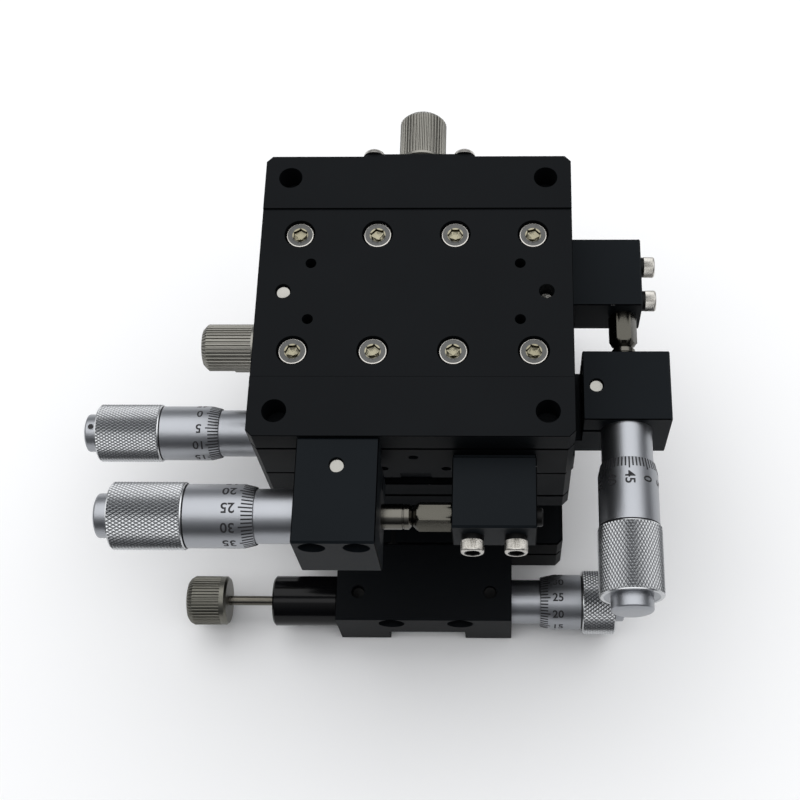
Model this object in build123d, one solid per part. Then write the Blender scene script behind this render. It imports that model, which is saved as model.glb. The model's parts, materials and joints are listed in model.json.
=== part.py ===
from build123d import *
import os

# A four-axis manual positioning stage: X, Y, Z and rotation, stacked on one another.
# Millimetres. Origin at the middle of the bottom face, +X right, +Y away, +Z up.

# Outline and stack
stage_width = 60.0
corner_chamfer = 1.2
turn_base_height = 8.2
turn_gap = 0.4
turn_table_height = 7.0
lift_height = 24.8
slide_plate_height = 5.8
slide_gap = 0.4
channel_height = 12.1

# Travel from the middle of each slide, and the turn of the bottom stage
slide_travel = 6.5
lift_travel = 2.4
turn_feed_travel = 3.6

# Fasteners
m3_shank = 3.0
m3_clear = 3.4
m3_head = 5.5
m3_head_height = 3.0
m3_socket = 2.5
m3_socket_depth = 1.5
m3_counterbore = 6.0
m3_counterbore_depth = 3.3
m25_shank = 2.5
m25_clear = 2.8
m25_head = 4.4
m25_head_height = 2.5
m25_socket = 2.0
m25_counterbore = 4.9
set_screw = 2.9
set_screw_socket = 1.5
set_screw_socket_depth = 1.0
clamp_screw_length = 2.0
thread_room = 0.02
screw_end_room = 1.0
m2_shank = 2.0
m2_clear = 2.2
m2_head = 3.8
m2_head_height = 2.0
m2_socket = 1.5
m2_counterbore = 4.1

# Holes in the top plate
mount_inset = 5.0
mount_hole = 4.6
rail_screw_pitch = 15.0
rail_screw_count = 4
rail_row = 12.5
recess_half_width = 18.0
recess_depth = 0.4
pin_hole = 2.1
pin_hole_x = 20.0
pin_hole_y = 6.0
side_tap = 3.0
side_tap_x = 25.0
side_tap_screw_depth = 0.8

# A square on its corner is this much wider than its side.
corner_ratio = 2 ** 0.5

# Crossed-roller rails
rail_height = 6.0
outer_rail_height = 5.6
rail_width = 5.5
rail_gap = 1.0
roller_diameter = 2.0
roller_length = 1.9
groove_room = 0.06
roller_pitch = 5.5
roller_count = 8
cage_thickness = 0.5
cage_height = 4.4
cage_end = 3.0
cage_window_room = 0.3
channel_relief = 0.4

# Micrometer head, large model
sleeve_diameter = 10.2
sleeve_visible_x = 8.0
sleeve_visible_y = 7.6
sleeve_hidden = 13.0
spindle_diameter = 4.8
spindle_chamfer = 0.5
spindle_room = 0.05
thimble_diameter = 12.2
thimble_mouth = 10.9
thimble_bevel = 2.3
thimble_length = 13.6
thimble_bore_room = 0.15
knurl_diameter = 12.7
knurl_length = 13.4
knurl_chamfer = 0.5
cap_diameter = 8.8
cap_length = 3.1
cap_round = 1.0
cap_edge = 0.3
cap_hole = 1.5
thimble_floor = 4.6
stem_socket = 2.0

# Blocks that hold the micrometer and its anvil, on the X and Y slides
holder_width = 15.0
holder_depth = 20.1
holder_height = 16.4
holder_drop = 0.6
holder_relief = 2.6
holder_screw_pitch = 8.0
holder_screw_drop = 2.8
holder_centre_x = -13.1
holder_centre_y = -10.6
block_chamfer = 0.4
screw_in_plate = 6.0
sleeve_fit = 0.01
clamp_slit = 0.6
clamp_screw_back = 5.3
anvil_block_start = 7.5
anvil_block_width = 15.5
anvil_block_depth = 15.2
anvil_block_height = 10.6
anvil_block_relief = 1.5
anvil_block_relief_height = 2.4
anvil_screw_inset = 3.75
clamp_shoulder = 4.2
clamp_shoulder_length = 1.0
block_screw_height = 8.5
anvil_screw_pitch = 8.0
axis_out = 11.4
axis_height = 7.0
hex_flats = 5.0
hex_length = 7.3
hex_nose = 0.8
anvil_thread = 3.5
anvil_tip = 1.2
clamp_reach = 2.2
spindle_touch = 0.15

# Front face of the middle body
key_half_gap = 3.0
key_width = 9.0
key_height = 2.6
key_recess_height = 6.8
key_recess_depth = 1.5
key_room = 0.2
face_hole = 1.9
face_hole_depth = 5.0
face_hole_pitch = 6.0
face_hole_high = 8.0
face_hole_low = 2.3

# Lock screws with their slotted plates
lock_screw_pitch = 18.0
lock_screw_edge = 2.2
lock_plate_width = lock_screw_pitch + 2 * lock_screw_edge
lock_plate_thickness = 1.2
lock_plate_room = 0.3
lock_plate_height = 15.0
lock_plate_drop = 1.4
lock_plate_chamfer = 0.8
lock_height = 6.3
lock_shank = 3.0
lock_slot_room = 0.4
lock_collar = 6.0
lock_collar_length = 1.9
lock_backed_off_x = 2.0
knob_diameter = 9.6
knob_length = 11.0
knob_bevel = 1.0
knob_rib_count = 24
knob_rib_depth = 0.35
pan_head = 4.4
pan_head_height = 1.4
lock_thread_length = 7.0

# Return springs
spring_diameter = 4.4
spring_wire = 0.5
spring_length = 26.0
spring_turns = 9
spring_post = 2.0
spring_post_inset = 1.0
table_spring_y = -3.6
spring_slot_half = 22.0
spring_slot_width = 10.4
land_low = 6.8
land_setback = 0.3
middle_screw_x = 22.0
middle_screw_y = 5.0

# Wedge lift
lift_depth = 50.0
lift_floor = 5.0
lift_plate = 4.5
wedge_slope = 0.4
wedge_length = 22.0
wedge_thin = 2.8
wedge_half_width = 14.0
wedge_gap = 0.1
wedge_centre = 3.0
lift_wall_thickness = 9.0
lift_wall_height = 17.6
lift_axis_height = 11.4
lift_axis_inset = 11.6
lift_boss_width = 15.0
lift_boss_length = 8.0
lift_boss_out = 6.0
guide_tongue_half = 5.0
guide_rail_width = 3.4
guide_rail_depth = 4.6
guide_rail_length = 11.8
guide_rail_start = 8.0
guide_fixed_start = 5.4
guide_gap = 0.8
guide_roller = 1.5
guide_roller_length = 1.4
guide_roller_count = 3
guide_roller_pitch = 3.4
lift_lock_y = 11.8
lift_lock_width = 12.0
lift_lock_wall = 6.0
lift_lock_plate_low = 5.0
lift_sleeve_visible = 9.0
side_skirt_thickness = 1.7
side_skirt_chamfer = 1.4
side_skirt_drop = 8.0
side_skirt_half = 16.0
lift_spring_y = 10.0
lift_spring_pocket = 3.0
lift_spring_room = 0.4

# Rotation stage
hub_diameter = 30.0
hub_room = 0.1
ring_radius = 20.0
ring_roller = 2.0
ring_roller_length = 1.9
ring_count = 14
ring_cage_width = 5.0
ring_cage_thickness = 0.2
retainer_diameter = 37.0
retainer_height = 2.8
retainer_room = 0.3
retainer_screw_length = 7.0
base_tap = 3.3
turn_holder_left = -19.5
turn_holder_right = 18.7
turn_holder_depth = 17.4
turn_holder_bottom = 0.6
turn_holder_top = 16.0
turn_holder_relief = 2.4
turn_holder_screw = 7.5
turn_axis_height = 8.5
turn_axis_out = 11.1
pocket_half = 8.4
pocket_front_wall = 1.8
pocket_back_wall = 5.0
pocket_top = 10.9
notch_top = 6.0
arm_half_width = 2.6
arm_bottom = 1.2
arm_top = 5.2
arm_post_height = 10.5
arm_post_half_depth = 3.2
arm_counterbore = 3.9
arm_screw_head = 3.7
arm_screw_sink = 1.0
turn_sleeve_visible = 6.3
turn_sleeve_hidden = 9.0
turn_sleeve_diameter = 9.7
turn_thimble = 11.3
turn_thimble_mouth = 10.6
turn_thimble_bevel = 2.9
turn_counterbore = 5.7
turn_thimble_length = 9.2
turn_knurl = 13.4
turn_knurl_length = 9.0
turn_cap_length = 2.4
turn_spindle = 4.0
plunger_diameter = 11.0
plunger_neck = 8.0
plunger_length = 14.4
plunger_pin = 3.0
plunger_rod = 2.1
plunger_rod_length = 10.3
plunger_knob = 10.8
plunger_knob_length = 8.8
plunger_spring_bore = 6.0
plunger_spring_diameter = 5.0
plunger_collar = 5.6
plunger_collar_length = 1.5
plunger_wall = 1.5
plunger_bore_length = 20.0
turn_sleeve_seat_depth = 8.0
turn_clamp_spread = 14.4
turn_screw_rise = 4.3
turn_room = 0.4

# Places worked out from the sizes above
half = stage_width / 2
turn_table_bottom = turn_base_height + turn_gap
turn_table_top = turn_table_bottom + turn_table_height
lift_top = turn_table_top + lift_height
seam = lift_top + slide_plate_height + slide_gap + channel_height
table_bottom = channel_height + slide_gap
table_top = table_bottom + slide_plate_height
groove_height = table_bottom - rail_height / 2
rail_seat = channel_height - outer_rail_height
channel_floor = rail_seat - channel_relief
rail_plane = rail_row + rail_width / 2 + rail_gap / 2
channel_half = rail_plane + rail_gap / 2 + rail_width
groove_side = roller_diameter + groove_room
mount_half = half - mount_inset
axis_y = -half - axis_out
turn_axis_y = -half - turn_axis_out


def block(x, y, z):
    """A box between three pairs of limits."""
    size = [high - low for low, high in (x, y, z)]
    middle = [(low + high) / 2 for low, high in (x, y, z)]
    return Pos(*middle) * Box(*size)


def rod(start, direction, length, diameter):
    """A round bar from a point along a direction."""
    base = Plane(origin=start, z_dir=direction)
    return base * Cylinder(diameter / 2, length, align=(Align.CENTER, Align.CENTER, Align.MIN))


def hexagon(start, direction, length, flats):
    """A six-sided bar, flats apart by the given size."""
    base = Plane(origin=start, z_dir=direction)
    outline = RegularPolygon(flats / 2, 6, major_radius=False)
    return extrude(base * outline, length)


def turned(profile, start, direction):
    """A turned piece from (distance along the axis, radius) points."""
    base = Plane(origin=start, z_dir=direction)
    points = [(0, profile[0][0])] + [(radius, along) for along, radius in profile] + [(0, profile[-1][0])]
    outline = Plane.XZ * make_face(Polyline(*points, close=True))
    return base * revolve(outline, Axis.Z)


def cap_screw(start, direction, head, head_height, shank, length, socket):
    """A socket cap screw: start is under the head, direction points along the shank."""
    back = -Vector(direction)
    top = Vector(start) + back * head_height
    body = rod(start, back, head_height, head) + rod(start, direction, length, shank)
    return body - hexagon(top, direction, m3_socket_depth, socket)


def m3_screw(start, direction, length):
    return cap_screw(start, direction, m3_head, m3_head_height, m3_shank, length, m3_socket)


def m25_screw(start, direction, length):
    return cap_screw(start, direction, m25_head, m25_head_height, m25_shank, length, m25_socket)


def headless_screw(start, direction, length):
    """A set screw with its socket at the start."""
    body = rod(start, direction, length, set_screw - 2 * thread_room)
    return body - hexagon(start, direction, set_screw_socket_depth, set_screw_socket)


def screw_hole(start, direction, depth, head, head_depth, clear):
    """A counterbored hole from a face inwards."""
    return rod(start, direction, head_depth, head) + rod(start, direction, depth, clear)


def coil(start, direction, length, diameter, wire, turns):
    """A wire coil along a direction."""
    path = Helix(pitch=(length - wire) / turns, height=length - wire, radius=(diameter - wire) / 2)
    section = Plane(origin=path @ 0, z_dir=path % 0) * Circle(wire / 2)
    spring = sweep(section, path=path)
    place = Plane(origin=Vector(start) + Vector(direction) * (wire / 2), z_dir=direction)
    return place * spring


def square_plate(low, height):
    """One layer of the stack with its upright corners chamfered."""
    plate = block((-half, half), (-half, half), (low, low + height))
    return chamfer(plate.edges().filter_by(Axis.Z), corner_chamfer)


def row_x():
    """Screw places along a rail."""
    first = -rail_screw_pitch * (rail_screw_count - 1) / 2
    return [first + rail_screw_pitch * index for index in range(rail_screw_count)]


def groove(length, y, z, side):
    """A square bar on its edge, along X: the two facing grooves of a rail pair."""
    return Pos(0, y, z) * Rot(45, 0, 0) * Box(length, side, side)


# The slide, drawn once with its travel along X, its holders at the front and its seam at z = 0.
# The Y slide is the same one turned upside down and a quarter turn round.

def slide_table(centre, with_mount_holes):
    """The outer plate that carries the inner rails."""
    plate = square_plate(table_bottom, slide_plate_height)
    land = rail_row - rail_width / 2
    plate += block((-half + land_setback, half - land_setback), (-land, land), (land_low, table_bottom))
    plate -= block((-spring_slot_half, spring_slot_half), (-spring_slot_width / 2, spring_slot_width / 2),
                   (land_low, table_bottom))
    down = (0, 0, -1)
    for x in row_x():
        for y in (-rail_row, rail_row):
            start = (x, y, table_top)
            plate -= screw_hole(start, down, slide_plate_height, m3_counterbore,
                                m3_counterbore_depth, m3_clear)
    if with_mount_holes:
        plate -= block((-half, half), (-recess_half_width, recess_half_width),
                       (table_top - recess_depth, table_top))
        for x in (-pin_hole_x, pin_hole_x):
            for y in (-pin_hole_y, pin_hole_y):
                plate -= rod((x, y, table_top), down, slide_plate_height, pin_hole)
        for x in (-side_tap_x, side_tap_x):
            plate -= rod((x, 0, table_top), down, slide_plate_height, side_tap)
    for x in (-mount_half, mount_half):
        for y in (-mount_half, mount_half):
            if with_mount_holes:
                plate -= rod((x, y, table_top), down, slide_plate_height, mount_hole)
            else:
                plate -= screw_hole((x, y, table_bottom), (0, 0, 1), slide_plate_height,
                                    m3_counterbore, m3_counterbore_depth, m3_clear)
    for x in holder_screw_places(centre):
        plate -= rod((x, -half, holder_screw_height()), (0, 1, 0), screw_in_plate,
                     m25_shank + 2 * thread_room)
    for x in lock_plate_screws():
        plate -= rod((x, half, lock_screw_height()), (0, -1, 0), screw_in_plate, m25_shank + 2 * thread_room)
    return plate - spring_post_hole(-1, table_spring_y, table_bottom, slide_plate_height / 2)


def holder_screw_height():
    return table_top - holder_drop - holder_screw_drop


def lock_screw_height():
    return table_top - slide_plate_height / 2


def holder_screw_places(centre):
    return [centre - holder_screw_pitch / 2, centre + holder_screw_pitch / 2]


def lock_plate_screws():
    return [-lock_screw_pitch / 2, lock_screw_pitch / 2]


def anvil_screw_places():
    first = anvil_block_start + anvil_screw_inset
    return [first, first + anvil_screw_pitch]


def inner_rails():
    """Two rails that hang from the table, their grooves outwards."""
    rails = []
    for side in (-1, 1):
        inside = side * (rail_row - rail_width / 2)
        outside = side * (rail_row + rail_width / 2)
        bar = block((-half, half), sorted((inside, outside)), (table_bottom - rail_height, table_bottom))
        bar -= groove(stage_width, side * rail_plane, groove_height, groove_side)
        for x in row_x():
            bar -= rod((x, side * rail_row, table_bottom), (0, 0, -1), rail_height,
                       m3_shank + 2 * thread_room)
        rails.append(bar)
    return rails


def outer_rails():
    """Two rails that lie in the channel, their grooves inwards."""
    rails = []
    for side in (-1, 1):
        inside = side * (rail_plane + rail_gap / 2)
        outside = side * channel_half
        bar = block((-half, half), sorted((inside, outside)), (rail_seat, channel_height))
        bar -= groove(stage_width, side * rail_plane, groove_height, groove_side)
        rails.append(bar)
    return rails


def roller_cages():
    """Crossed rollers, one after another turned by a right angle, in two thin cages."""
    pieces = []
    first = -roller_pitch * (roller_count - 1) / 2
    cage_half = -first + cage_end
    window = roller_diameter + cage_window_room
    window_rise = window * corner_ratio / 2
    for side in (-1, 1):
        y = side * rail_plane
        cage = block((-cage_half, cage_half), (y - cage_thickness / 2, y + cage_thickness / 2),
                     (groove_height - cage_height / 2, groove_height + cage_height / 2))
        for index in range(roller_count):
            x = first + roller_pitch * index
            cage -= block((x - window / 2, x + window / 2), (y - cage_thickness, y + cage_thickness),
                          (groove_height - window_rise, groove_height + window_rise))
            tilt = 45 if index % 2 == 0 else -45
            pieces.append(Pos(x, y, groove_height) * Rot(tilt, 0, 0)
                          * Cylinder(roller_diameter / 2, roller_length))
        pieces.append(cage)
    return pieces


def slide_channel(is_upper):
    """The middle body's half: a floor with two walls, open along X."""
    body = square_plate(0, channel_height)
    body -= block((-half, half), (-channel_half, channel_half), (rail_seat, channel_height))
    body -= block((-half, half), (-rail_plane, rail_plane), (channel_floor, rail_seat))
    for x in anvil_screw_places():
        body -= screw_hole((x, -channel_half, block_screw_height), (0, -1, 0), half - channel_half,
                           m2_counterbore, m2_head_height, m2_clear)
    body -= rod((0, half, lock_height), (0, -1, 0), lock_thread_length, lock_shank + 2 * thread_room)
    for x, y in middle_screw_places():
        if is_upper:
            body -= screw_hole((x, y, channel_floor), (0, 0, -1), rail_seat,
                               m3_counterbore, m3_counterbore_depth, m3_clear)
        else:
            body -= rod((y, -x, 0), (0, 0, 1), rail_seat, m3_shank + 2 * thread_room)
    if is_upper:
        body -= face_holes()
        body += face_keys()
    else:
        body -= key_recess()
    return body - spring_post_hole(1, 0, channel_floor - spring_post_inset, spring_post_inset)


def middle_screw_places():
    return [(x, y) for x in (-middle_screw_x, middle_screw_x) for y in (-middle_screw_y, middle_screw_y)]


def middle_screws():
    seat = channel_floor - m3_counterbore_depth
    length = seat + rail_seat - screw_end_room
    return [m3_screw((x, y, seat), (0, 0, -1), length) for x, y in middle_screw_places()]


def face_holes():
    """Three small tapped holes in the front face, one high in the middle and two low beside it."""
    places = [(0, face_hole_high), (-face_hole_pitch, face_hole_low), (face_hole_pitch, face_hole_low)]
    return [rod((x, -half, z), (0, 1, 0), face_hole_depth, face_hole) for x, z in places]


def face_keys():
    """Two tongues on the front edge that reach down into the lower half's recess."""
    keys = []
    for side in (-1, 1):
        inside = side * key_half_gap
        outside = side * (key_half_gap + key_width)
        keys.append(block(sorted((inside, outside)), (-half, -half + key_recess_depth - key_room),
                          (-key_height, 0)))
    return keys


def key_recess():
    """The recess for the tongues, in the end of the lower half that faces the front."""
    wide = key_half_gap + key_width + key_room
    return block((-half, -half + key_recess_depth), (-wide, wide), (0, key_recess_height))


def spring_post_hole(side, y, low, height):
    return Pos(side * spring_length / 2, y, low + height / 2) * Cylinder(spring_post / 2, height)


def spring_middle():
    return (channel_floor + table_bottom) / 2


def slide_spring():
    """The spring that pulls the table onto the spindle, with the pin at its fixed end."""
    right = spring_length / 2 - spring_post / 2
    start = (right, 0, spring_middle())
    wire = coil(start, (-1, 0, 0), spring_length - spring_post, spring_diameter, spring_wire, spring_turns)
    low = channel_floor - spring_post_inset
    high = spring_middle() + spring_diameter / 2
    return [wire, rod((spring_length / 2, 0, low), (0, 0, 1), high - low, spring_post - 2 * thread_room)]


def table_spring_post():
    """The pin at the spring's other end, which moves with the table."""
    low = spring_middle() - spring_diameter / 2
    high = table_bottom + slide_plate_height / 2
    return rod((-spring_length / 2, table_spring_y, low), (0, 0, 1), high - low,
               spring_post - 2 * thread_room)


def micrometer_holder(centre, is_upper):
    """The block on the table's front face, clamped round the micrometer's sleeve."""
    left = centre - holder_width / 2
    right = left + holder_width
    top = table_top - holder_drop
    body = block((left, right), (-half - holder_depth, -half), (top - holder_height, top))
    body = chamfer(body.edges().filter_by(Axis.X), block_chamfer)
    body -= block((left, right), (-half - holder_relief, -half),
                  (top - holder_height, table_bottom - holder_drop))
    body -= rod((left, axis_y, axis_height), (1, 0, 0), holder_width, sleeve_diameter + 2 * sleeve_fit)
    for x in holder_screw_places(centre):
        front = (x, -half - holder_depth, holder_screw_height())
        body -= screw_hole(front, (0, 1, 0), holder_depth, m25_counterbore,
                           holder_depth - m25_head_height, m25_clear)
    body -= block((left, right), (axis_y, -half - holder_relief),
                  (axis_height - clamp_slit / 2, axis_height + clamp_slit / 2))
    mouth, direction, depth = clamp_hole(centre, is_upper)
    return body - rod(mouth, direction, depth, set_screw)


def clamp_hole(centre, is_upper):
    """Mouth, direction and depth of the hole for the set screw that bears on the sleeve."""
    top = table_top - holder_drop
    low = top - holder_height
    if is_upper:
        return (centre, -half - clamp_screw_back, top), (0, 0, -1), top - axis_height - clamp_reach
    return (centre, -half - clamp_screw_back, low), (0, 0, 1), axis_height - clamp_reach - low


def holder_screws(centre, is_upper):
    """The two screws that hold the holder and the one that clamps the sleeve."""
    pieces = []
    for x in holder_screw_places(centre):
        pieces.append(m25_screw((x, -half - m25_head_height, holder_screw_height()), (0, 1, 0),
                                m25_head_height + screw_in_plate - screw_end_room))
    mouth, direction, depth = clamp_hole(centre, is_upper)
    start = Vector(mouth) + Vector(direction) * side_tap_screw_depth
    pieces.append(headless_screw(start, direction, depth - side_tap_screw_depth))
    return pieces


def table_rail_screws():
    seat = table_top - m3_counterbore_depth
    screws = []
    for x in row_x():
        for y in (-rail_row, rail_row):
            screws.append(m3_screw((x, y, seat), (0, 0, -1), slide_plate_height))
    return screws


def side_tap_screws():
    """A set screw in each of the two tapped holes beside the rails, one high and one deep."""
    return [headless_screw((-side_tap_x, 0, table_top - recess_depth - side_tap_screw_depth), (0, 0, -1),
                           clamp_screw_length),
            headless_screw((side_tap_x, 0, table_bottom + clamp_screw_length), (0, 0, -1),
                           clamp_screw_length)]


def lock_plate():
    """The slotted plate on the table's back face."""
    top = table_top - lock_plate_drop
    wide = lock_plate_width / 2
    outside = half + lock_plate_room + lock_plate_thickness
    plate = block((-wide, wide), (half, outside), (top - lock_plate_height, top))
    plate = chamfer(plate.edges().filter_by(Axis.Y), lock_plate_chamfer)
    plate -= block((-wide, wide), (half, half + lock_plate_room), (top - lock_plate_height, table_bottom))
    slot = slide_travel + lock_shank / 2 + lock_slot_room
    plate -= block((-slot, slot), (half, outside),
                   (lock_height - lock_shank / 2 - lock_slot_room,
                    lock_height + lock_shank / 2 + lock_slot_room))
    for x in lock_plate_screws():
        plate -= rod((x, half, lock_screw_height()), (0, 1, 0), lock_plate_thickness + lock_plate_room,
                     m25_clear)
    return plate


def lock_plate_fasteners():
    outside = half + lock_plate_room + lock_plate_thickness
    return [cap_screw((x, outside, lock_screw_height()), (0, -1, 0), pan_head, pan_head_height, m25_shank,
                      lock_plate_thickness + lock_plate_room + screw_in_plate - screw_end_room, m25_socket)
            for x in lock_plate_screws()]


def ribbed_knob(start, direction, diameter, length, bevel):
    """A round knob with straight ribs."""
    profile = [(0, diameter / 2 - bevel / 2), (bevel / 2, diameter / 2),
               (length - bevel, diameter / 2), (length, diameter / 2 - bevel)]
    body = turned(profile, start, direction)
    base = Plane(origin=start, z_dir=direction)
    rib = knob_rib_depth * corner_ratio
    cut = Pos(diameter / 2, 0, length / 2) * Rot(0, 0, 45) * Box(rib, rib, length)
    for index in range(knob_rib_count):
        body -= base * (Rot(0, 0, index * 360 / knob_rib_count) * cut)
    return body


def lock_knob(backed_off):
    """The lock screw: shank, collar and ribbed head."""
    face = half + lock_plate_room + lock_plate_thickness + backed_off
    start = (0, face + lock_slot_room / 2, lock_height)
    knob_start = (0, face + lock_slot_room / 2 + lock_collar_length, lock_height)
    body = rod(start, (0, 1, 0), lock_collar_length, lock_collar)
    body += ribbed_knob(knob_start, (0, 1, 0), knob_diameter, knob_length, knob_bevel)
    shank = lock_thread_length + start[1] - half - screw_end_room - backed_off
    return body + rod(start, (0, -1, 0), shank, lock_shank)


def micrometer_sleeve(centre, visible):
    """The sleeve, from its right end in the holder to its left end under the thimble."""
    right = centre + holder_width / 2
    left = mouth_place(centre, visible) - sleeve_hidden
    body = rod((left, axis_y, axis_height), (1, 0, 0), right - left, sleeve_diameter)
    return body - rod((left, axis_y, axis_height), (1, 0, 0), right - left,
                      spindle_diameter + 2 * spindle_room)


def mouth_place(centre, visible):
    """Where the thimble's mouth stands along the slide."""
    return centre - holder_width / 2 - visible


def thimble_body(start, direction, radii, lengths, bore):
    """A thimble: bevelled mouth, plain drum, grip and cap, hollow from the mouth."""
    mouth, drum, grip, cap = radii
    bevel, drum_length, grip_length, cap_len = lengths
    drum_end = drum_length
    grip_end = drum_end + grip_length
    end = grip_end + cap_len
    profile = [(0, mouth), (bevel, drum), (drum_end, drum), (drum_end + grip - drum, grip),
               (grip_end - knurl_chamfer, grip),
               (grip_end, grip - knurl_chamfer), (grip_end, cap), (end - cap_round, cap),
               (end - cap_edge, cap - cap_edge), (end, cap - cap_round)]
    body = turned(profile, start, direction)
    return body - rod(start, direction, end - thimble_floor, bore)


def thimble(mouth):
    radii = (thimble_mouth / 2, thimble_diameter / 2, knurl_diameter / 2, cap_diameter / 2)
    lengths = (thimble_bevel, thimble_length, knurl_length, cap_length)
    start = (mouth, axis_y, axis_height)
    body = thimble_body(start, (-1, 0, 0), radii, lengths, sleeve_diameter + 2 * thimble_bore_room)
    end = mouth - thimble_length - knurl_length
    body -= rod((end - cap_length / 2, axis_y, axis_height), (0, 0, 1), cap_diameter, cap_hole)
    return body - rod((end - cap_length + thimble_floor, axis_y, axis_height), (-1, 0, 0),
                      stem_socket, spindle_diameter)


def spindle(mouth):
    """The spindle, from its seat in the thimble to its tip on the anvil."""
    left = mouth - thimble_length - knurl_length - cap_length + thimble_floor - stem_socket
    tip = anvil_block_start - hex_length - spindle_touch
    body = rod((left, axis_y, axis_height), (1, 0, 0), tip - left, spindle_diameter)
    return chamfer(body.faces().sort_by(Axis.X)[-1].edges(), spindle_chamfer)


def anvil():
    """The hexagon-headed anvil that the spindle pushes on."""
    tip = anvil_block_start - hex_length
    body = hexagon((tip + hex_nose, axis_y, axis_height), (1, 0, 0), hex_length - hex_nose, hex_flats)
    body += turned([(0, hex_flats / 2 - hex_nose), (hex_nose, hex_flats / 2)],
                   (tip, axis_y, axis_height), (1, 0, 0))
    return body + rod((anvil_block_start, axis_y, axis_height), (1, 0, 0),
                      anvil_block_width + anvil_tip, anvil_thread)


def anvil_block():
    """The block on the channel's front face that holds the anvil."""
    left = anvil_block_start
    right = left + anvil_block_width
    low = axis_height - anvil_block_height / 2
    high = low + anvil_block_height
    body = block((left, right), (-half - anvil_block_depth, -half), (low, high))
    body = chamfer(body.edges().filter_by(Axis.X), block_chamfer)
    body -= block((left, right), (-half - anvil_block_relief, -half),
                  (high - anvil_block_relief_height, high))
    body -= rod((left, axis_y, axis_height), (1, 0, 0), anvil_block_width, anvil_thread + 2 * thread_room)
    for x in anvil_screw_places():
        body -= rod((x, -half, block_screw_height), (0, -1, 0), screw_in_plate, m2_shank + 2 * thread_room)
        body -= rod((x, -half - anvil_block_depth, axis_height), (0, 1, 0), anvil_block_depth - axis_out,
                    m3_shank + 2 * thread_room)
    return body


def anvil_screws():
    """The shouldered screws that clamp the anvil and the screws that hold its block from inside."""
    front = -half - anvil_block_depth
    grip = anvil_block_depth - axis_out - anvil_thread / 2 - spindle_room
    pieces = []
    for x in anvil_screw_places():
        clamp = cap_screw((x, front - clamp_shoulder_length, axis_height), (0, 1, 0), m3_head, m3_head_height,
                          m3_shank, clamp_shoulder_length + grip, m3_socket)
        pieces.append(clamp + rod((x, front, axis_height), (0, -1, 0), clamp_shoulder_length, clamp_shoulder))
        start = (x, -channel_half - m2_head_height, block_screw_height)
        pieces.append(cap_screw(start, (0, -1, 0), m2_head, m2_head_height, m2_shank,
                                half - channel_half - m2_head_height + screw_in_plate - screw_end_room,
                                m2_socket))
    return pieces


def upper(shape):
    """Place a piece of the X slide."""
    return Pos(0, 0, seam) * shape


def lower(shape):
    """Place a piece of the Y slide: mirrored downwards and turned a quarter turn."""
    return Pos(0, 0, seam) * Rot(0, 0, 90) * mirror(shape, Plane.XY)


def group(pieces):
    return Compound(children=list(pieces))


# The lift: a wedge driven along X raises a table that a crossed-roller guide keeps upright.

lift_front = half - lift_depth
lift_axis_y = lift_front + lift_axis_inset
lift_floor_top = turn_table_top + lift_floor
lift_wall_top = turn_table_top + lift_wall_height
lift_axis_z = turn_table_top + lift_axis_height
lift_plate_bottom = lift_top - lift_plate
wedge_left = wedge_centre - wedge_length / 2
wedge_right = wedge_centre + wedge_length / 2
wedge_thick = wedge_thin + wedge_slope * wedge_length
guide_plane = guide_tongue_half + guide_rail_width + guide_gap / 2
guide_half = guide_tongue_half + 2 * guide_rail_width + guide_gap
guide_y = half - lift_wall_thickness / 2
guide_side = guide_roller + groove_room


def upright_groove(x, low, length):
    return Pos(x, guide_y, low + length / 2) * Rot(0, 0, 45) * Box(guide_side, guide_side, length)


def lift_base():
    """Floor, back wall split for the guide, a boss for the micrometer and a wall for the lock."""
    body = block((-half, half), (lift_front, half), (turn_table_top, lift_wall_top))
    inner = (-half + lift_boss_length, half)
    body -= block(inner, (lift_front, half - lift_wall_thickness), (lift_floor_top, lift_wall_top))
    boss_low = lift_axis_y - lift_boss_width / 2
    boss_high = lift_axis_y + lift_boss_width / 2
    wall_low = lift_lock_y - lift_lock_width / 2
    left = (-half, -half + lift_boss_length)
    body -= block(left, (lift_front, boss_low), (lift_floor_top, lift_wall_top))
    body -= block(left, (boss_high, wall_low), (lift_floor_top, lift_wall_top))
    body -= block((-half + lift_lock_wall, -half + lift_boss_length), (wall_low, half - lift_wall_thickness),
                  (lift_floor_top, lift_wall_top))
    body -= block((-half, -half + lift_lock_wall), (wall_low + lift_lock_width, half - lift_wall_thickness),
                  (lift_floor_top, lift_wall_top))
    body -= block((-guide_half, guide_half), (half - lift_wall_thickness, half),
                  (lift_floor_top, lift_wall_top))
    body += block((-half - lift_boss_out, -half), (boss_low, boss_high), (turn_table_top, lift_wall_top))
    body -= rod((-half - lift_boss_out, lift_axis_y, lift_axis_z), (1, 0, 0),
                lift_boss_out + lift_boss_length, sleeve_diameter + 2 * sleeve_fit)
    body -= rod((-half, lift_lock_y, lift_axis_z), (1, 0, 0), lift_lock_wall, lock_shank + 2 * thread_room)
    return body


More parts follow.
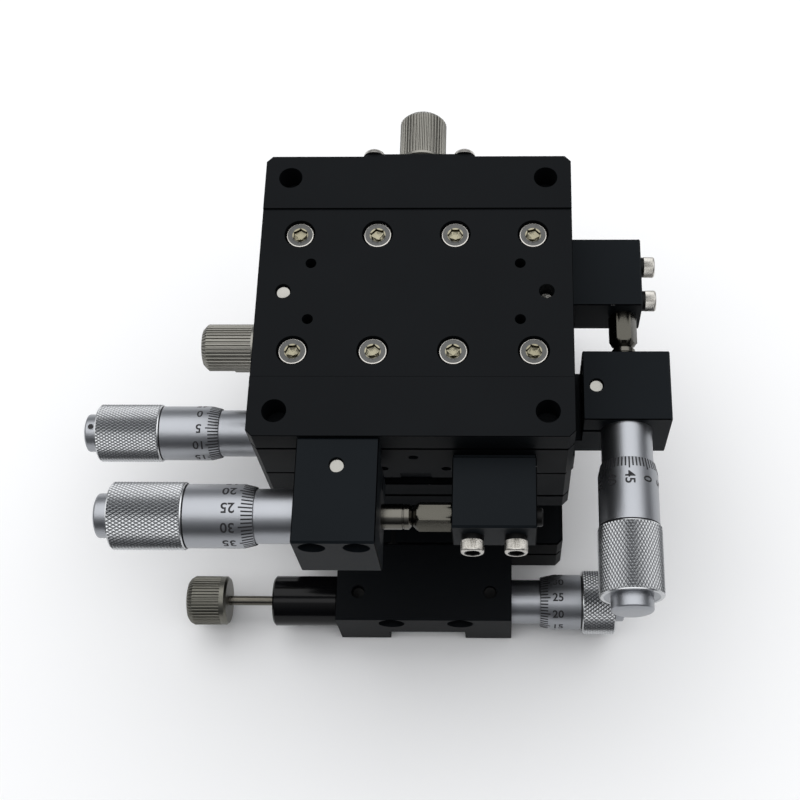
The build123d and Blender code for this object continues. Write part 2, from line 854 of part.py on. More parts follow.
def lift_table():
    """The top plate with its sloping pad, the guide's tongue and two pockets for the springs."""
    plate = block((-half, half), (lift_front, half), (lift_plate_bottom, lift_top))
    plate = chamfer(plate.edges().filter_by(Axis.Z), corner_chamfer)
    low_left = lift_floor_top + wedge_thick + wedge_gap
    low_right = lift_floor_top + wedge_thin + wedge_gap
    profile = Plane.XZ * make_face(Polyline((wedge_left, lift_plate_bottom), (wedge_left, low_left),
                                            (wedge_right, low_right), (wedge_right, lift_plate_bottom),
                                            close=True))
    plate += extrude(profile, wedge_half_width, both=True)
    tongue_low = turn_table_top + guide_rail_start
    plate += block((-guide_tongue_half, guide_tongue_half),
                   (guide_y - guide_rail_depth / 2, guide_y + guide_rail_depth / 2),
                   (tongue_low, lift_plate_bottom))
    for x, y in lift_spring_places():
        plate -= rod((x, y, lift_plate_bottom), (0, 0, 1), lift_spring_pocket,
                     spring_diameter + 2 * lift_spring_room)
    return plate


def lift_spring_places():
    """Two springs beside the wedge, clear of it at the end of its travel."""
    x = wedge_right + lift_travel / wedge_slope + lift_spring_room + spring_diameter / 2
    return [(x, -lift_spring_y), (x, lift_spring_y)]


def lift_springs():
    length = lift_plate_bottom - lift_floor_top
    return [coil((x, y, lift_floor_top), (0, 0, 1), length, spring_diameter, spring_wire, spring_turns)
            for x, y in lift_spring_places()]


def lift_wedge():
    """The sliding wedge, thick at the micrometer's end."""
    profile = Plane.XZ * make_face(Polyline((wedge_left, lift_floor_top),
                                            (wedge_left, lift_floor_top + wedge_thick),
                                            (wedge_right, lift_floor_top + wedge_thin),
                                            (wedge_right, lift_floor_top), close=True))
    return extrude(profile, wedge_half_width, both=True)


def guide_rails(inner):
    """The guide's upright rails: a pair on the tongue or a pair on the wall."""
    rails = []
    start = turn_table_top + (guide_rail_start if inner else guide_fixed_start)
    for side in (-1, 1):
        if inner:
            limits = (side * guide_tongue_half, side * (guide_tongue_half + guide_rail_width))
        else:
            limits = (side * (guide_half - guide_rail_width), side * guide_half)
        bar = block(sorted(limits), (guide_y - guide_rail_depth / 2, guide_y + guide_rail_depth / 2),
                    (start, start + guide_rail_length))
        rails.append(bar - upright_groove(side * guide_plane, start, guide_rail_length))
    return rails


def guide_rollers():
    """The guide's crossed rollers."""
    rollers = []
    middle = turn_table_top + (guide_rail_start + guide_fixed_start + guide_rail_length) / 2
    first = middle - guide_roller_pitch * (guide_roller_count - 1) / 2
    for side in (-1, 1):
        for index in range(guide_roller_count):
            turn = 45 if index % 2 == 0 else -45
            place = Pos(side * guide_plane, guide_y, first + guide_roller_pitch * index)
            rollers.append(place * Rot(0, 0, turn) * Rot(0, 90, 0)
                           * Cylinder(guide_roller / 2, guide_roller_length))
    return rollers


def lift_lock_plate():
    """The slotted plate on the lift table's left edge."""
    high = lift_top - lock_plate_drop / 2
    low = lift_axis_z - lift_lock_plate_low
    outside = -half - lock_plate_room - lock_plate_thickness
    wide = (lift_lock_y - lift_lock_width / 2, lift_lock_y + lift_lock_width / 2)
    plate = block((outside, -half), wide, (low, high))
    plate -= block((-half - lock_plate_room, -half), wide, (low, lift_plate_bottom))
    slot = lock_shank / 2 + lock_slot_room
    return plate - block((outside, -half), (lift_lock_y - slot, lift_lock_y + slot),
                         (lift_axis_z - slot - lift_travel, lift_axis_z + slot + lift_travel))


def lift_lock_knob():
    """The same lock screw, turned to point left and set at the lift's height."""
    return Pos(0, lift_lock_y, lift_axis_z - lock_height) * Rot(0, 0, 90) * lock_knob(0)


def side_cover():
    """The cover plate that hangs from the lift table's right edge."""
    plate = block((half, half + side_skirt_thickness), (lift_front, side_skirt_half),
                  (lift_top - side_skirt_drop, lift_top))
    outer = plate.edges().filter_by(Axis.Z).group_by(Axis.X)[-1]
    return chamfer(outer, side_skirt_chamfer)


def lift_mouth_x():
    return -half - lift_boss_out - lift_sleeve_visible


def lift_sleeve():
    left = lift_mouth_x() - sleeve_hidden
    right = -half + lift_boss_length
    body = rod((left, lift_axis_y, lift_axis_z), (1, 0, 0), right - left, sleeve_diameter)
    return body - rod((left, lift_axis_y, lift_axis_z), (1, 0, 0), right - left,
                      spindle_diameter + 2 * spindle_room)


def lift_thimble():
    move = Pos(0, lift_axis_y - axis_y, lift_axis_z - axis_height)
    return move * thimble(lift_mouth_x())


def lift_spindle():
    left = lift_mouth_x() - thimble_length - knurl_length - cap_length + thimble_floor - stem_socket
    tip = wedge_left - spindle_touch
    return rod((left, lift_axis_y, lift_axis_z), (1, 0, 0), tip - left, spindle_diameter)


# The rotation stage: a table on a ring of crossed rollers, turned by a tangent micrometer.

def ring_cut():
    """The ring-shaped square groove that the rollers run in."""
    section = Plane.XZ * (Pos(ring_radius, turn_base_height + turn_gap / 2) * Rot(0, 0, 45)
                          * Rectangle(groove_side, groove_side))
    return revolve(section, Axis.Z)


def turn_base():
    """The bottom plate: bore, half of the ring groove, retainer pocket and four tapped holes from below."""
    body = square_plate(0, turn_base_height)
    body -= rod((0, 0, 0), (0, 0, 1), turn_base_height, hub_diameter + 2 * hub_room)
    body -= ring_cut()
    body -= rod((0, 0, 0), (0, 0, 1), retainer_height + 2 * retainer_room,
                retainer_diameter + 2 * retainer_room)
    for x in (-mount_half, mount_half):
        for y in (-mount_half, mount_half):
            body -= rod((x, y, 0), (0, 0, 1), turn_base_height, base_tap)
    return body - rod((0, -half, arm_middle()), (0, 1, 0), screw_in_plate, m25_shank + 2 * thread_room)


def arm_middle():
    return (arm_bottom + arm_top) / 2


def turn_table():
    """The turning plate with its hub, the other half of the groove and the holes for its block."""
    body = square_plate(turn_table_bottom, turn_table_height)
    hub_low = retainer_height + retainer_room
    body += rod((0, 0, hub_low), (0, 0, 1), turn_table_bottom - hub_low, hub_diameter)
    body -= ring_cut()
    body -= rod((0, 0, hub_low), (0, 0, 1), retainer_screw_length, m25_shank + 2 * thread_room)
    for x in (-turn_holder_screw, turn_holder_screw):
        body -= rod((x, -half, turn_screw_height()), (0, 1, 0), screw_in_plate, m3_shank + 2 * thread_room)
    return body


def retainer():
    """The disc under the hub that keeps the table down, and the screw that holds it."""
    disc = rod((0, 0, retainer_room), (0, 0, 1), retainer_height, retainer_diameter)
    seat = retainer_room + m25_head_height
    disc -= screw_hole((0, 0, retainer_room), (0, 0, 1), retainer_height, m25_counterbore, m25_head_height,
                       m25_clear)
    screw = m25_screw((0, 0, seat), (0, 0, 1), retainer_height - m25_head_height + retainer_screw_length
                      - screw_end_room)
    return [disc, screw]


def ring_rollers():
    """The ring of crossed rollers and its flat cage."""
    pieces = []
    z = turn_base_height + turn_gap / 2
    inside = 2 * (ring_radius - ring_cage_width / 2)
    cage = Pos(0, 0, z) * (Cylinder(ring_radius + ring_cage_width / 2, ring_cage_thickness)
                           - Cylinder(inside / 2, ring_cage_thickness))
    window = ring_roller + cage_window_room
    for index in range(ring_count):
        turn = Rot(0, 0, index * 360 / ring_count)
        tilt = 45 if index % 2 == 0 else -45
        cage -= turn * Pos(ring_radius, 0, z) * Box(window * corner_ratio, window, window)
        pieces.append(turn * Pos(ring_radius, 0, z) * Rot(0, tilt, 0)
                      * Cylinder(ring_roller / 2, ring_roller_length))
    return pieces + [cage]


def turn_screw_height():
    return turn_table_bottom + turn_screw_rise


def turn_arm():
    """The fixed arm that the tangent screw pushes on: a bar with an upright post."""
    front = turn_axis_y - arm_post_half_depth
    bar = block((-arm_half_width, arm_half_width), (front, -half), (arm_bottom, arm_top))
    bar += block((-arm_half_width, arm_half_width), (front, front + 2 * arm_post_half_depth),
                 (arm_bottom, arm_post_height))
    return bar - screw_hole((0, front, arm_middle()), (0, 1, 0), -half - front,
                            arm_counterbore, m25_head_height + arm_screw_sink, m25_clear)


def turn_arm_screw():
    front = turn_axis_y - arm_post_half_depth
    start = (0, front + m25_head_height + arm_screw_sink, arm_middle())
    length = -half - start[1] + screw_in_plate - screw_end_room
    return cap_screw(start, (0, 1, 0), arm_screw_head, m25_head_height, m25_shank, length, m25_socket)


def turn_holder():
    """The block on the turning plate's front, hollow where the fixed arm stands."""
    x = (turn_holder_left, turn_holder_right)
    front = -half - turn_holder_depth
    body = block(x, (front, -half), (turn_holder_bottom, turn_holder_top))
    body = chamfer(body.edges().filter_by(Axis.X), block_chamfer)
    body -= block(x, (-half - turn_holder_relief, -half),
                  (turn_holder_bottom, turn_table_bottom - turn_gap / 2))
    pocket = (-pocket_half, pocket_half)
    body -= block(pocket, (front + pocket_front_wall, -half - pocket_back_wall),
                  (turn_holder_bottom, pocket_top))
    body -= block(pocket, (front, -half), (turn_holder_bottom, notch_top))
    axis = (turn_axis_y, turn_axis_height)
    body -= rod((turn_sleeve_seat(), *axis), (1, 0, 0), turn_holder_right - turn_sleeve_seat(),
                turn_sleeve_diameter + 2 * sleeve_fit)
    body -= rod((pocket_half, *axis), (1, 0, 0), turn_sleeve_seat() - pocket_half,
                turn_spindle + 4 * spindle_room)
    body -= rod((turn_holder_left, *axis), (1, 0, 0), -pocket_half - turn_holder_left,
                plunger_neck + 2 * thread_room)
    for side in (-1, 1):
        body -= screw_hole((side * turn_holder_screw, front, turn_screw_height()), (0, 1, 0),
                           turn_holder_depth, turn_counterbore, turn_holder_depth - m3_head_height, m3_clear)
        body -= rod((turn_clamp_x(side), turn_axis_y, turn_holder_top), (0, 0, -1),
                    turn_holder_top - turn_axis_height, set_screw)
    return body


def turn_sleeve_seat():
    return turn_holder_right - turn_sleeve_seat_depth


def turn_clamp_x(side):
    middle = (turn_holder_left + turn_holder_right) / 2
    return middle + side * turn_clamp_spread


def turn_holder_screws():
    pieces = []
    for side in (-1, 1):
        start = (side * turn_holder_screw, -half - m3_head_height, turn_screw_height())
        pieces.append(m3_screw(start, (0, 1, 0), m3_head_height + screw_in_plate - screw_end_room))
        seat = turn_sleeve_diameter / 2 if side > 0 else plunger_neck / 2
        top = (turn_clamp_x(side), turn_axis_y, turn_axis_height + seat + clamp_screw_length)
        pieces.append(headless_screw(top, (0, 0, -1), clamp_screw_length - spindle_room))
    return pieces


def turn_mouth_x():
    return turn_holder_right + turn_sleeve_visible


def turn_sleeve():
    left = turn_sleeve_seat()
    right = turn_mouth_x() + turn_sleeve_hidden
    body = rod((left, turn_axis_y, turn_axis_height), (1, 0, 0), right - left, turn_sleeve_diameter)
    return body - rod((left, turn_axis_y, turn_axis_height), (1, 0, 0), right - left,
                      turn_spindle + 2 * spindle_room)


def turn_thimble_end():
    return turn_mouth_x() + turn_thimble_length + turn_knurl_length + turn_cap_length


def turn_thimble_piece():
    radii = (turn_thimble_mouth / 2, turn_thimble / 2, turn_knurl / 2, cap_diameter / 2)
    lengths = (turn_thimble_bevel, turn_thimble_length, turn_knurl_length, turn_cap_length)
    start = (turn_mouth_x(), turn_axis_y, turn_axis_height)
    body = thimble_body(start, (1, 0, 0), radii, lengths, turn_sleeve_diameter + 2 * thimble_bore_room)
    return body - rod((turn_thimble_end() - thimble_floor, turn_axis_y, turn_axis_height), (1, 0, 0),
                      stem_socket, turn_spindle + 2 * spindle_room)


def turn_spindle_piece():
    left = arm_half_width + spindle_touch
    right = turn_thimble_end() - thimble_floor + stem_socket
    body = rod((left, turn_axis_y, turn_axis_height), (1, 0, 0), right - left, turn_spindle)
    return chamfer(body.faces().sort_by(Axis.X)[0].edges(), spindle_chamfer)


def plunger_body():
    """The spring plunger's barrel and its neck in the block."""
    left = turn_holder_left - plunger_length
    axis = (turn_axis_y, turn_axis_height)
    barrel = rod((left, *axis), (1, 0, 0), plunger_length, plunger_diameter)
    barrel = chamfer(barrel.edges(), block_chamfer)
    barrel += rod((turn_holder_left, *axis), (1, 0, 0), -pocket_half - turn_holder_left, plunger_neck)
    barrel -= rod((left, *axis), (1, 0, 0), plunger_length, plunger_rod + 2 * spindle_room)
    barrel -= rod((left + plunger_wall, *axis), (1, 0, 0), plunger_bore_length, plunger_spring_bore)
    return barrel - rod((turn_holder_left, *axis), (1, 0, 0), -pocket_half - turn_holder_left,
                        plunger_pin + 2 * spindle_room)


def plunger():
    """The pin, its collar, the rod and the ribbed knob that pulls it back."""
    axis = (turn_axis_y, turn_axis_height)
    tip = -arm_half_width - spindle_touch
    collar_left = turn_holder_left
    body = rod((collar_left, *axis), (1, 0, 0), tip - collar_left, plunger_pin)
    body = chamfer(body.faces().sort_by(Axis.X)[-1].edges(), spindle_chamfer)
    body += rod((collar_left, *axis), (1, 0, 0), plunger_collar_length, plunger_collar)
    knob_right = turn_holder_left - plunger_length - plunger_rod_length
    body += rod((knob_right, *axis), (1, 0, 0), collar_left - knob_right, plunger_rod)
    knob = ribbed_knob((knob_right, *axis), (-1, 0, 0), plunger_knob, plunger_knob_length, knob_bevel)
    return body + knob


def plunger_spring():
    left = turn_holder_left - plunger_length + plunger_wall
    length = plunger_length - plunger_wall - turn_feed_travel - turn_room
    return coil((left, turn_axis_y, turn_axis_height), (1, 0, 0), length, plunger_spring_diameter,
                spring_wire, spring_turns)


parts = {}

# X slide
parts["x_table"] = upper(slide_table(holder_centre_x, True))
parts["x_inner_rails"] = upper(group(inner_rails()))
parts["x_outer_rails"] = upper(group(outer_rails()))
parts["x_roller_cages"] = upper(group(roller_cages()))
parts["x_base"] = upper(slide_channel(True))
parts["x_spring"] = upper(group(slide_spring()))
parts["x_micrometer_block"] = upper(micrometer_holder(holder_centre_x, True))
parts["x_sleeve"] = upper(micrometer_sleeve(holder_centre_x, sleeve_visible_x))
parts["x_thimble"] = upper(thimble(mouth_place(holder_centre_x, sleeve_visible_x)))
parts["x_spindle"] = upper(spindle(mouth_place(holder_centre_x, sleeve_visible_x)))
parts["x_anvil_block"] = upper(anvil_block())
parts["x_anvil"] = upper(anvil())
parts["x_lock_plate"] = upper(lock_plate())
parts["x_lock_knob"] = upper(lock_knob(lock_backed_off_x))
parts["x_table_screws"] = upper(group(table_rail_screws() + holder_screws(holder_centre_x, True)
                                      + lock_plate_fasteners() + side_tap_screws() + [table_spring_post()]))

# Y slide
parts["y_base"] = lower(slide_table(holder_centre_y, False))
parts["y_inner_rails"] = lower(group(inner_rails()))
parts["y_outer_rails"] = lower(group(outer_rails()))
parts["y_roller_cages"] = lower(group(roller_cages()))
parts["y_table"] = lower(slide_channel(False))
parts["y_spring"] = lower(group(slide_spring()))
parts["y_micrometer_block"] = lower(micrometer_holder(holder_centre_y, False))
parts["y_sleeve"] = lower(micrometer_sleeve(holder_centre_y, sleeve_visible_y))
parts["y_thimble"] = lower(thimble(mouth_place(holder_centre_y, sleeve_visible_y)))
parts["y_spindle"] = lower(spindle(mouth_place(holder_centre_y, sleeve_visible_y)))
parts["y_anvil_block"] = lower(anvil_block())
parts["y_anvil"] = lower(anvil())
parts["y_lock_plate"] = lower(lock_plate())
parts["y_lock_knob"] = lower(lock_knob(0))
parts["y_base_screws"] = lower(group(table_rail_screws() + holder_screws(holder_centre_y, False)
                                     + lock_plate_fasteners() + [table_spring_post()]))
parts["middle_screws"] = group([upper(screw) for screw in middle_screws() + anvil_screws()]
                               + [lower(screw) for screw in anvil_screws()])

# Lift
parts["z_base"] = lift_base()
parts["z_table"] = lift_table()
parts["z_wedge"] = lift_wedge()
parts["z_fixed_rails"] = group(guide_rails(False))
parts["z_moving_rails"] = group(guide_rails(True))
parts["z_rollers"] = group(guide_rollers())
parts["z_springs"] = group(lift_springs())
parts["z_side_cover"] = side_cover()
parts["z_lock_plate"] = lift_lock_plate()
parts["z_lock_knob"] = lift_lock_knob()
parts["z_sleeve"] = lift_sleeve()
parts["z_thimble"] = lift_thimble()
parts["z_spindle"] = lift_spindle()

# Rotation stage
parts["turn_base"] = turn_base()
parts["turn_arm"] = turn_arm()
parts["turn_arm_screw"] = turn_arm_screw()
parts["turn_table"] = turn_table()
parts["turn_retainer"] = group(retainer())
parts["turn_rollers"] = group(ring_rollers())
parts["turn_micrometer_block"] = turn_holder()
parts["turn_block_screws"] = group(turn_holder_screws())
parts["turn_sleeve"] = turn_sleeve()
parts["turn_thimble"] = turn_thimble_piece()
parts["turn_spindle"] = turn_spindle_piece()
parts["plunger_body"] = plunger_body()
parts["plunger"] = plunger()
parts["plunger_spring"] = plunger_spring()

os.makedirs("parts", exist_ok=True)
for name, shape in parts.items():
    export_step(shape, f"parts/{name}.step")
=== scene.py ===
import json
import math

import bmesh
import bpy
from mathutils import Matrix, Vector

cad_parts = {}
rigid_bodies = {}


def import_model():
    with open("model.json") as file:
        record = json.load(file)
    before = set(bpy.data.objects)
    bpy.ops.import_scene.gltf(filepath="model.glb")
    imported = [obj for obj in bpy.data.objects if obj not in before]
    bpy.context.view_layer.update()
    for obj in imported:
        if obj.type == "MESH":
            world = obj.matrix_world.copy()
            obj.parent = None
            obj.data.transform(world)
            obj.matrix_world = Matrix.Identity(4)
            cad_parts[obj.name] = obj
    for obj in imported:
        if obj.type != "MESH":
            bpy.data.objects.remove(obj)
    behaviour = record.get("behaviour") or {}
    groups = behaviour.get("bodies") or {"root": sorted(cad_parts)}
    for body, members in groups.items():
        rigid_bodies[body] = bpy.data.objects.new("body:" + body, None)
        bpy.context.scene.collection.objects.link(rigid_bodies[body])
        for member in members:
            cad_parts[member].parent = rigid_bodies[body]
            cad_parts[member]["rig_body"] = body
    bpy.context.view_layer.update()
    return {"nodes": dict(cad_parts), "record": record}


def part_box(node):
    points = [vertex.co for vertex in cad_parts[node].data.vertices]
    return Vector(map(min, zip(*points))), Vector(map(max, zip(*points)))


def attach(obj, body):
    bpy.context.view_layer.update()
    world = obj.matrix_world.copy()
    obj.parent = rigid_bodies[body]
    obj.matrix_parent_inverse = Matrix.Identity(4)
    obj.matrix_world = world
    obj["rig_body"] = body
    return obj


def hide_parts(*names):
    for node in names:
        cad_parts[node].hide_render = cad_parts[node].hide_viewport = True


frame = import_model()

# The place where the stage stands for its picture: a white table top under a wide soft
# box, in a room that is dark to the front, seen from above and a little in front.
MM = 0.001

scene = bpy.context.scene
scene.view_settings.view_transform = "Standard"

camera_data = bpy.data.cameras.new("camera")
camera_data.lens = 62.235
camera_data.sensor_width = 36
camera_data.shift_x = -0.0873
camera_data.shift_y = 0.0333
camera = bpy.data.objects.new("camera", camera_data)
camera.location = (17.0 * MM, -126.57 * MM, 306.59 * MM)
camera.rotation_euler = [math.radians(turn) for turn in (23.2232, 1.2605, 0.6656)]
scene.collection.objects.link(camera)
scene.camera = camera

overhead_data = bpy.data.lights.new("overhead_lamp", "AREA")
overhead_data.shape = "RECTANGLE"
overhead_data.size = 2.2
overhead_data.size_y = 1.5
overhead_data.energy = 13.0
overhead = bpy.data.objects.new("overhead_lamp", overhead_data)
overhead.location = (-0.05, 0.30, 0.95)
scene.collection.objects.link(overhead)


def add_node(tree, kind, **settings):
    """A node with its attributes and input values set."""
    node = tree.nodes.new(kind)
    for key, value in settings.items():
        if key.startswith("in_"):
            node.inputs[key[3:].replace("_", " ")].default_value = value
        else:
            setattr(node, key, value)
    return node


def picture_room():
    """The light of the room: dark below and to the front, pale above and to the back."""
    room = bpy.data.worlds.new("room")
    room.use_nodes = True
    tree = room.node_tree
    tree.nodes.clear()
    sky = add_node(tree, "ShaderNodeTexCoord")
    split = add_node(tree, "ShaderNodeSeparateXYZ")
    height = add_node(tree, "ShaderNodeMath", operation="MULTIPLY_ADD")
    height.inputs[1].default_value = 0.30
    tones = add_node(tree, "ShaderNodeValToRGB")
    below, above = tones.color_ramp.elements
    below.color = (0.045, 0.047, 0.052, 1)
    above.color = (0.75, 0.76, 0.78, 1)
    wall = tones.color_ramp.elements.new(0.30)
    wall.color = (0.14, 0.145, 0.155, 1)
    light = add_node(tree, "ShaderNodeBackground")
    sink = add_node(tree, "ShaderNodeOutputWorld")
    link = tree.links.new
    link(sky.outputs["Generated"], split.inputs[0])
    link(split.outputs["Y"], height.inputs[0])
    link(split.outputs["Z"], height.inputs[2])
    link(height.outputs[0], tones.inputs["Fac"])
    link(tones.outputs["Color"], light.inputs["Color"])
    link(light.outputs[0], sink.inputs["Surface"])
    return room


def white_table_top():
    """The table top: a white sheet with hardly any sheen, wide enough to fill the picture."""
    white = bpy.data.materials.new("white_table_top")
    white.use_nodes = True
    shader = white.node_tree.nodes["Principled BSDF"]
    shader.inputs["Base Color"].default_value = (0.96, 0.96, 0.96, 1)
    shader.inputs["Roughness"].default_value = 0.9
    shader.inputs["Specular IOR Level"].default_value = 0.1
    sheet = bmesh.new()
    bmesh.ops.create_grid(sheet, x_segments=1, y_segments=1, size=3.0)
    table_top = bpy.data.objects.new("table_top", bpy.data.meshes.new("table_top"))
    sheet.to_mesh(table_top.data)
    sheet.free()
    table_top.data.materials.append(white)
    scene.collection.objects.link(table_top)


scene.world = picture_room()
white_table_top()


# The milled blocks: aluminium, bead blasted and anodised black, with their sharp corners
# broken by a file. The broken corners are painted darker as painted shade, with a few nicks down
# to the bare metal.
def surface_grain():
    """A node group: fine grain for roughness and height, and slow patches for colour."""
    group = bpy.data.node_groups.new("surface_grain", "ShaderNodeTree")
    face = group.interface
    for label, value in (("Grain Size", 9000.0), ("Patch Size", 60.0), ("Height", 0.05)):
        socket = face.new_socket(label, in_out="INPUT", socket_type="NodeSocketFloat")
        socket.default_value = value
    face.new_socket("Grain", in_out="OUTPUT", socket_type="NodeSocketFloat")
    face.new_socket("Patch", in_out="OUTPUT", socket_type="NodeSocketFloat")
    face.new_socket("Normal", in_out="OUTPUT", socket_type="NodeSocketVector")
    source = add_node(group, "NodeGroupInput")
    place = add_node(group, "ShaderNodeTexCoord")
    grain = add_node(group, "ShaderNodeTexNoise", in_Detail=3.0, in_Roughness=0.65)
    patch = add_node(group, "ShaderNodeTexNoise", in_Detail=2.0, in_Roughness=0.5)
    bump = add_node(group, "ShaderNodeBump", in_Distance=0.2 * MM)
    sink = add_node(group, "NodeGroupOutput")
    link = group.links.new
    link(place.outputs["Object"], grain.inputs["Vector"])
    link(place.outputs["Object"], patch.inputs["Vector"])
    link(source.outputs["Grain Size"], grain.inputs["Scale"])
    link(source.outputs["Patch Size"], patch.inputs["Scale"])
    link(source.outputs["Height"], bump.inputs["Strength"])
    link(grain.outputs["Fac"], bump.inputs["Height"])
    link(grain.outputs["Fac"], sink.inputs["Grain"])
    link(patch.outputs["Fac"], sink.inputs["Patch"])
    link(bump.outputs["Normal"], sink.inputs["Normal"])
    return group


grain_group = surface_grain()


def finish_material(name, slot, dark, light, rough, grain, bump, metal=1.0, specular=0.5):
    """A finish between two tones in slow patches, whose sheen varies with a fine grain."""
    material = bpy.data.materials.new(name)
    material.use_nodes = True
    tree = material.node_tree
    shader = tree.nodes["Principled BSDF"]
    surface = add_node(tree, "ShaderNodeGroup", node_tree=grain_group, in_Grain_Size=grain, in_Height=bump)
    tones = add_node(tree, "ShaderNodeMix", data_type="RGBA", in_A=(*dark, 1), in_B=(*light, 1))
    sheen = add_node(tree, "ShaderNodeMapRange", in_To_Min=rough[0], in_To_Max=rough[1])
    link = tree.links.new
    link(surface.outputs["Patch"], tones.inputs["Factor"])
    link(surface.outputs["Grain"], sheen.inputs["Value"])
    link(tones.outputs["Result"], shader.inputs["Base Color"])
    link(sheen.outputs["Result"], shader.inputs["Roughness"])
    link(surface.outputs["Normal"], shader.inputs["Normal"])
    shader.inputs["Metallic"].default_value = metal
    shader.inputs["Specular IOR Level"].default_value = specular
    material["slot"] = slot
    return material


def worn_corner(name, slot, coat, bare):
    """The coat on a broken corner, painted darker as painted shade, with a few nicks down to the bare metal.
    """
    material = bpy.data.materials.new(name)
    material.use_nodes = True
    tree = material.node_tree
    shader = tree.nodes["Principled BSDF"]
    place = add_node(tree, "ShaderNodeTexCoord")
    spots = add_node(tree, "ShaderNodeTexNoise", in_Scale=170.0, in_Detail=4.0, in_Roughness=0.7)
    nicks = add_node(tree, "ShaderNodeMapRange", in_From_Min=0.665, in_From_Max=0.70)
    tones = add_node(tree, "ShaderNodeMix", data_type="RGBA", in_A=(*coat, 1), in_B=(*bare, 1))
    link = tree.links.new
    link(place.outputs["Object"], spots.inputs["Vector"])
    link(spots.outputs["Fac"], nicks.inputs["Value"])
    link(nicks.outputs["Result"], tones.inputs["Factor"])
    link(tones.outputs["Result"], shader.inputs["Base Color"])
    link(nicks.outputs["Result"], shader.inputs["Metallic"])
    shader.inputs["Roughness"].default_value = 0.5
    shader.inputs["Specular IOR Level"].default_value = 0.01
    material["slot"] = slot
    return material


anodised = finish_material("black_anodised", "black_anodised", dark=(0.0042, 0.0050, 0.0060),
                           light=(0.0062, 0.0072, 0.0084), rough=(0.40, 0.56), grain=9000.0, bump=0.10,
                           metal=0.0, specular=0.05)
blue_black = finish_material("blue_black_anodised", "black_anodised", dark=(0.0052, 0.0070, 0.0088),
                             light=(0.0075, 0.0096, 0.0118), rough=(0.40, 0.56), grain=9000.0, bump=0.10,
                             metal=0.0, specular=0.05)
# The corners' coat is much darker than the faces: painted shade along the broken corners, with nicks of bare
# metal.
anodised_corner = worn_corner("anodised_corner", "black_anodised", coat=(0.0010, 0.0011, 0.0013),
                              bare=(0.50, 0.50, 0.49))


def keep_piece(mesh, name, body, finishes, stands_for=(), sharp=34):
    """A finished mesh becomes an object that rides on its body and stands for CAD nodes."""
    data = bpy.data.meshes.new(name)
    mesh.to_mesh(data)
    mesh.free()
    # The CAD's own normals don't fit a block once its corners are broken.
    if "custom_normal" in data.attributes:
        data.attributes.remove(data.attributes["custom_normal"])
    data.shade_smooth()
    data.set_sharp_from_angle(angle=math.radians(sharp))
    piece = bpy.data.objects.new(name, data)
    scene.collection.objects.link(piece)
    for finish in finishes:
        data.materials.append(finish)
    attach(piece, body)
    if stands_for:
        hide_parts(*stands_for)
    return piece


WELD = 0.001 * MM


def cad_copy(node):
    """A CAD node's mesh as one welded surface."""
    mesh = bmesh.new()
    mesh.from_mesh(frame["nodes"][node].data)
    bmesh.ops.remove_doubles(mesh, verts=mesh.verts, dist=WELD)
    return mesh


def outside_corner(line):
    """Whether an edge is a sharp corner that stands out, of more than 50 degrees."""
    return len(line.link_faces) == 2 and line.is_convex and line.calc_face_angle(0) > math.radians(50)


def milled_block(node, coat=anodised, shortest=0.7 * MM, clamp=True):
    """A copy of a CAD block with its outside corners broken, those that are longer than the shortest."""
    mesh = cad_copy(node)
    broken_by = 0.32 * MM
    flat_within = math.radians(0.8)
    bmesh.ops.dissolve_limit(mesh, angle_limit=flat_within, verts=mesh.verts, edges=mesh.edges,
                             delimit={"NORMAL"})
    corners = [line for line in mesh.edges if outside_corner(line) and line.calc_length() > shortest]
    bmesh.ops.bevel(mesh, geom=corners, offset=broken_by, offset_type="OFFSET", segments=1, profile=0.5,
                    affect="EDGES", clamp_overlap=clamp, material=1)
    body = frame["nodes"][node]["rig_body"]
    return keep_piece(mesh, node + ".milled", body, (coat, anodised_corner), (node,))


for node in ("turn_base", "turn_table", "turn_micrometer_block", "turn_arm", "z_base", "z_table",
             "z_lock_plate", "z_side_cover", "y_base", "y_lock_plate", "x_table", "x_lock_plate"):
    milled_block(node)
# The two channels have short edges that would hold the bevel back, so only long ones are broken.
for node in ("y_table", "x_base"):
    milled_block(node, shortest=4 * MM, clamp=False)
for node in ("y_micrometer_block", "y_anvil_block", "x_micrometer_block", "x_anvil_block"):
    milled_block(node, coat=blue_black)


# The running gear, which stays as the CAD has it: rails, rollers, cages and wedge of ground
# steel and springs of wire, bare and lightly oiled, seen only where the stage is open. The
# micrometers' sleeves stay too, satin chromed like their drums.
ground_steel = finish_material("ground_steel", "steel", dark=(0.17, 0.168, 0.16), light=(0.26, 0.255, 0.24),
                               rough=(0.26, 0.42), grain=6000.0, bump=0.10)
spring_wire = finish_material("spring_wire", "spring_steel", dark=(0.36, 0.36, 0.37),
                              light=(0.46, 0.46, 0.47), rough=(0.24, 0.36), grain=6000.0, bump=0.05)
stainless = finish_material("stainless_screw", "stainless", dark=(0.42, 0.405, 0.375),
                            light=(0.58, 0.56, 0.52), rough=(0.20, 0.34), grain=5000.0, bump=0.10)
satin_chrome = finish_material("satin_chrome", "chrome", dark=(0.295, 0.305, 0.325),
                               light=(0.345, 0.355, 0.375), rough=(0.30, 0.42), grain=7000.0, bump=0.12)
old_nickel = finish_material("old_nickel", "nickel", dark=(0.185, 0.18, 0.16), light=(0.32, 0.31, 0.28),
                             rough=(0.26, 0.42), grain=4000.0, bump=0.16)
slot_finish = {"steel": ground_steel, "spring_steel": spring_wire, "stainless": stainless,
               "chrome": satin_chrome, "nickel": old_nickel, "black_anodised": anodised}
# Every node gets the finish of its slot, also where a piece takes its place later.
for entry in frame["record"]["subparts"]:
    data = frame["nodes"][entry["node"]].data
    data.materials.clear()
    data.materials.append(slot_finish[entry["material_slot"]])
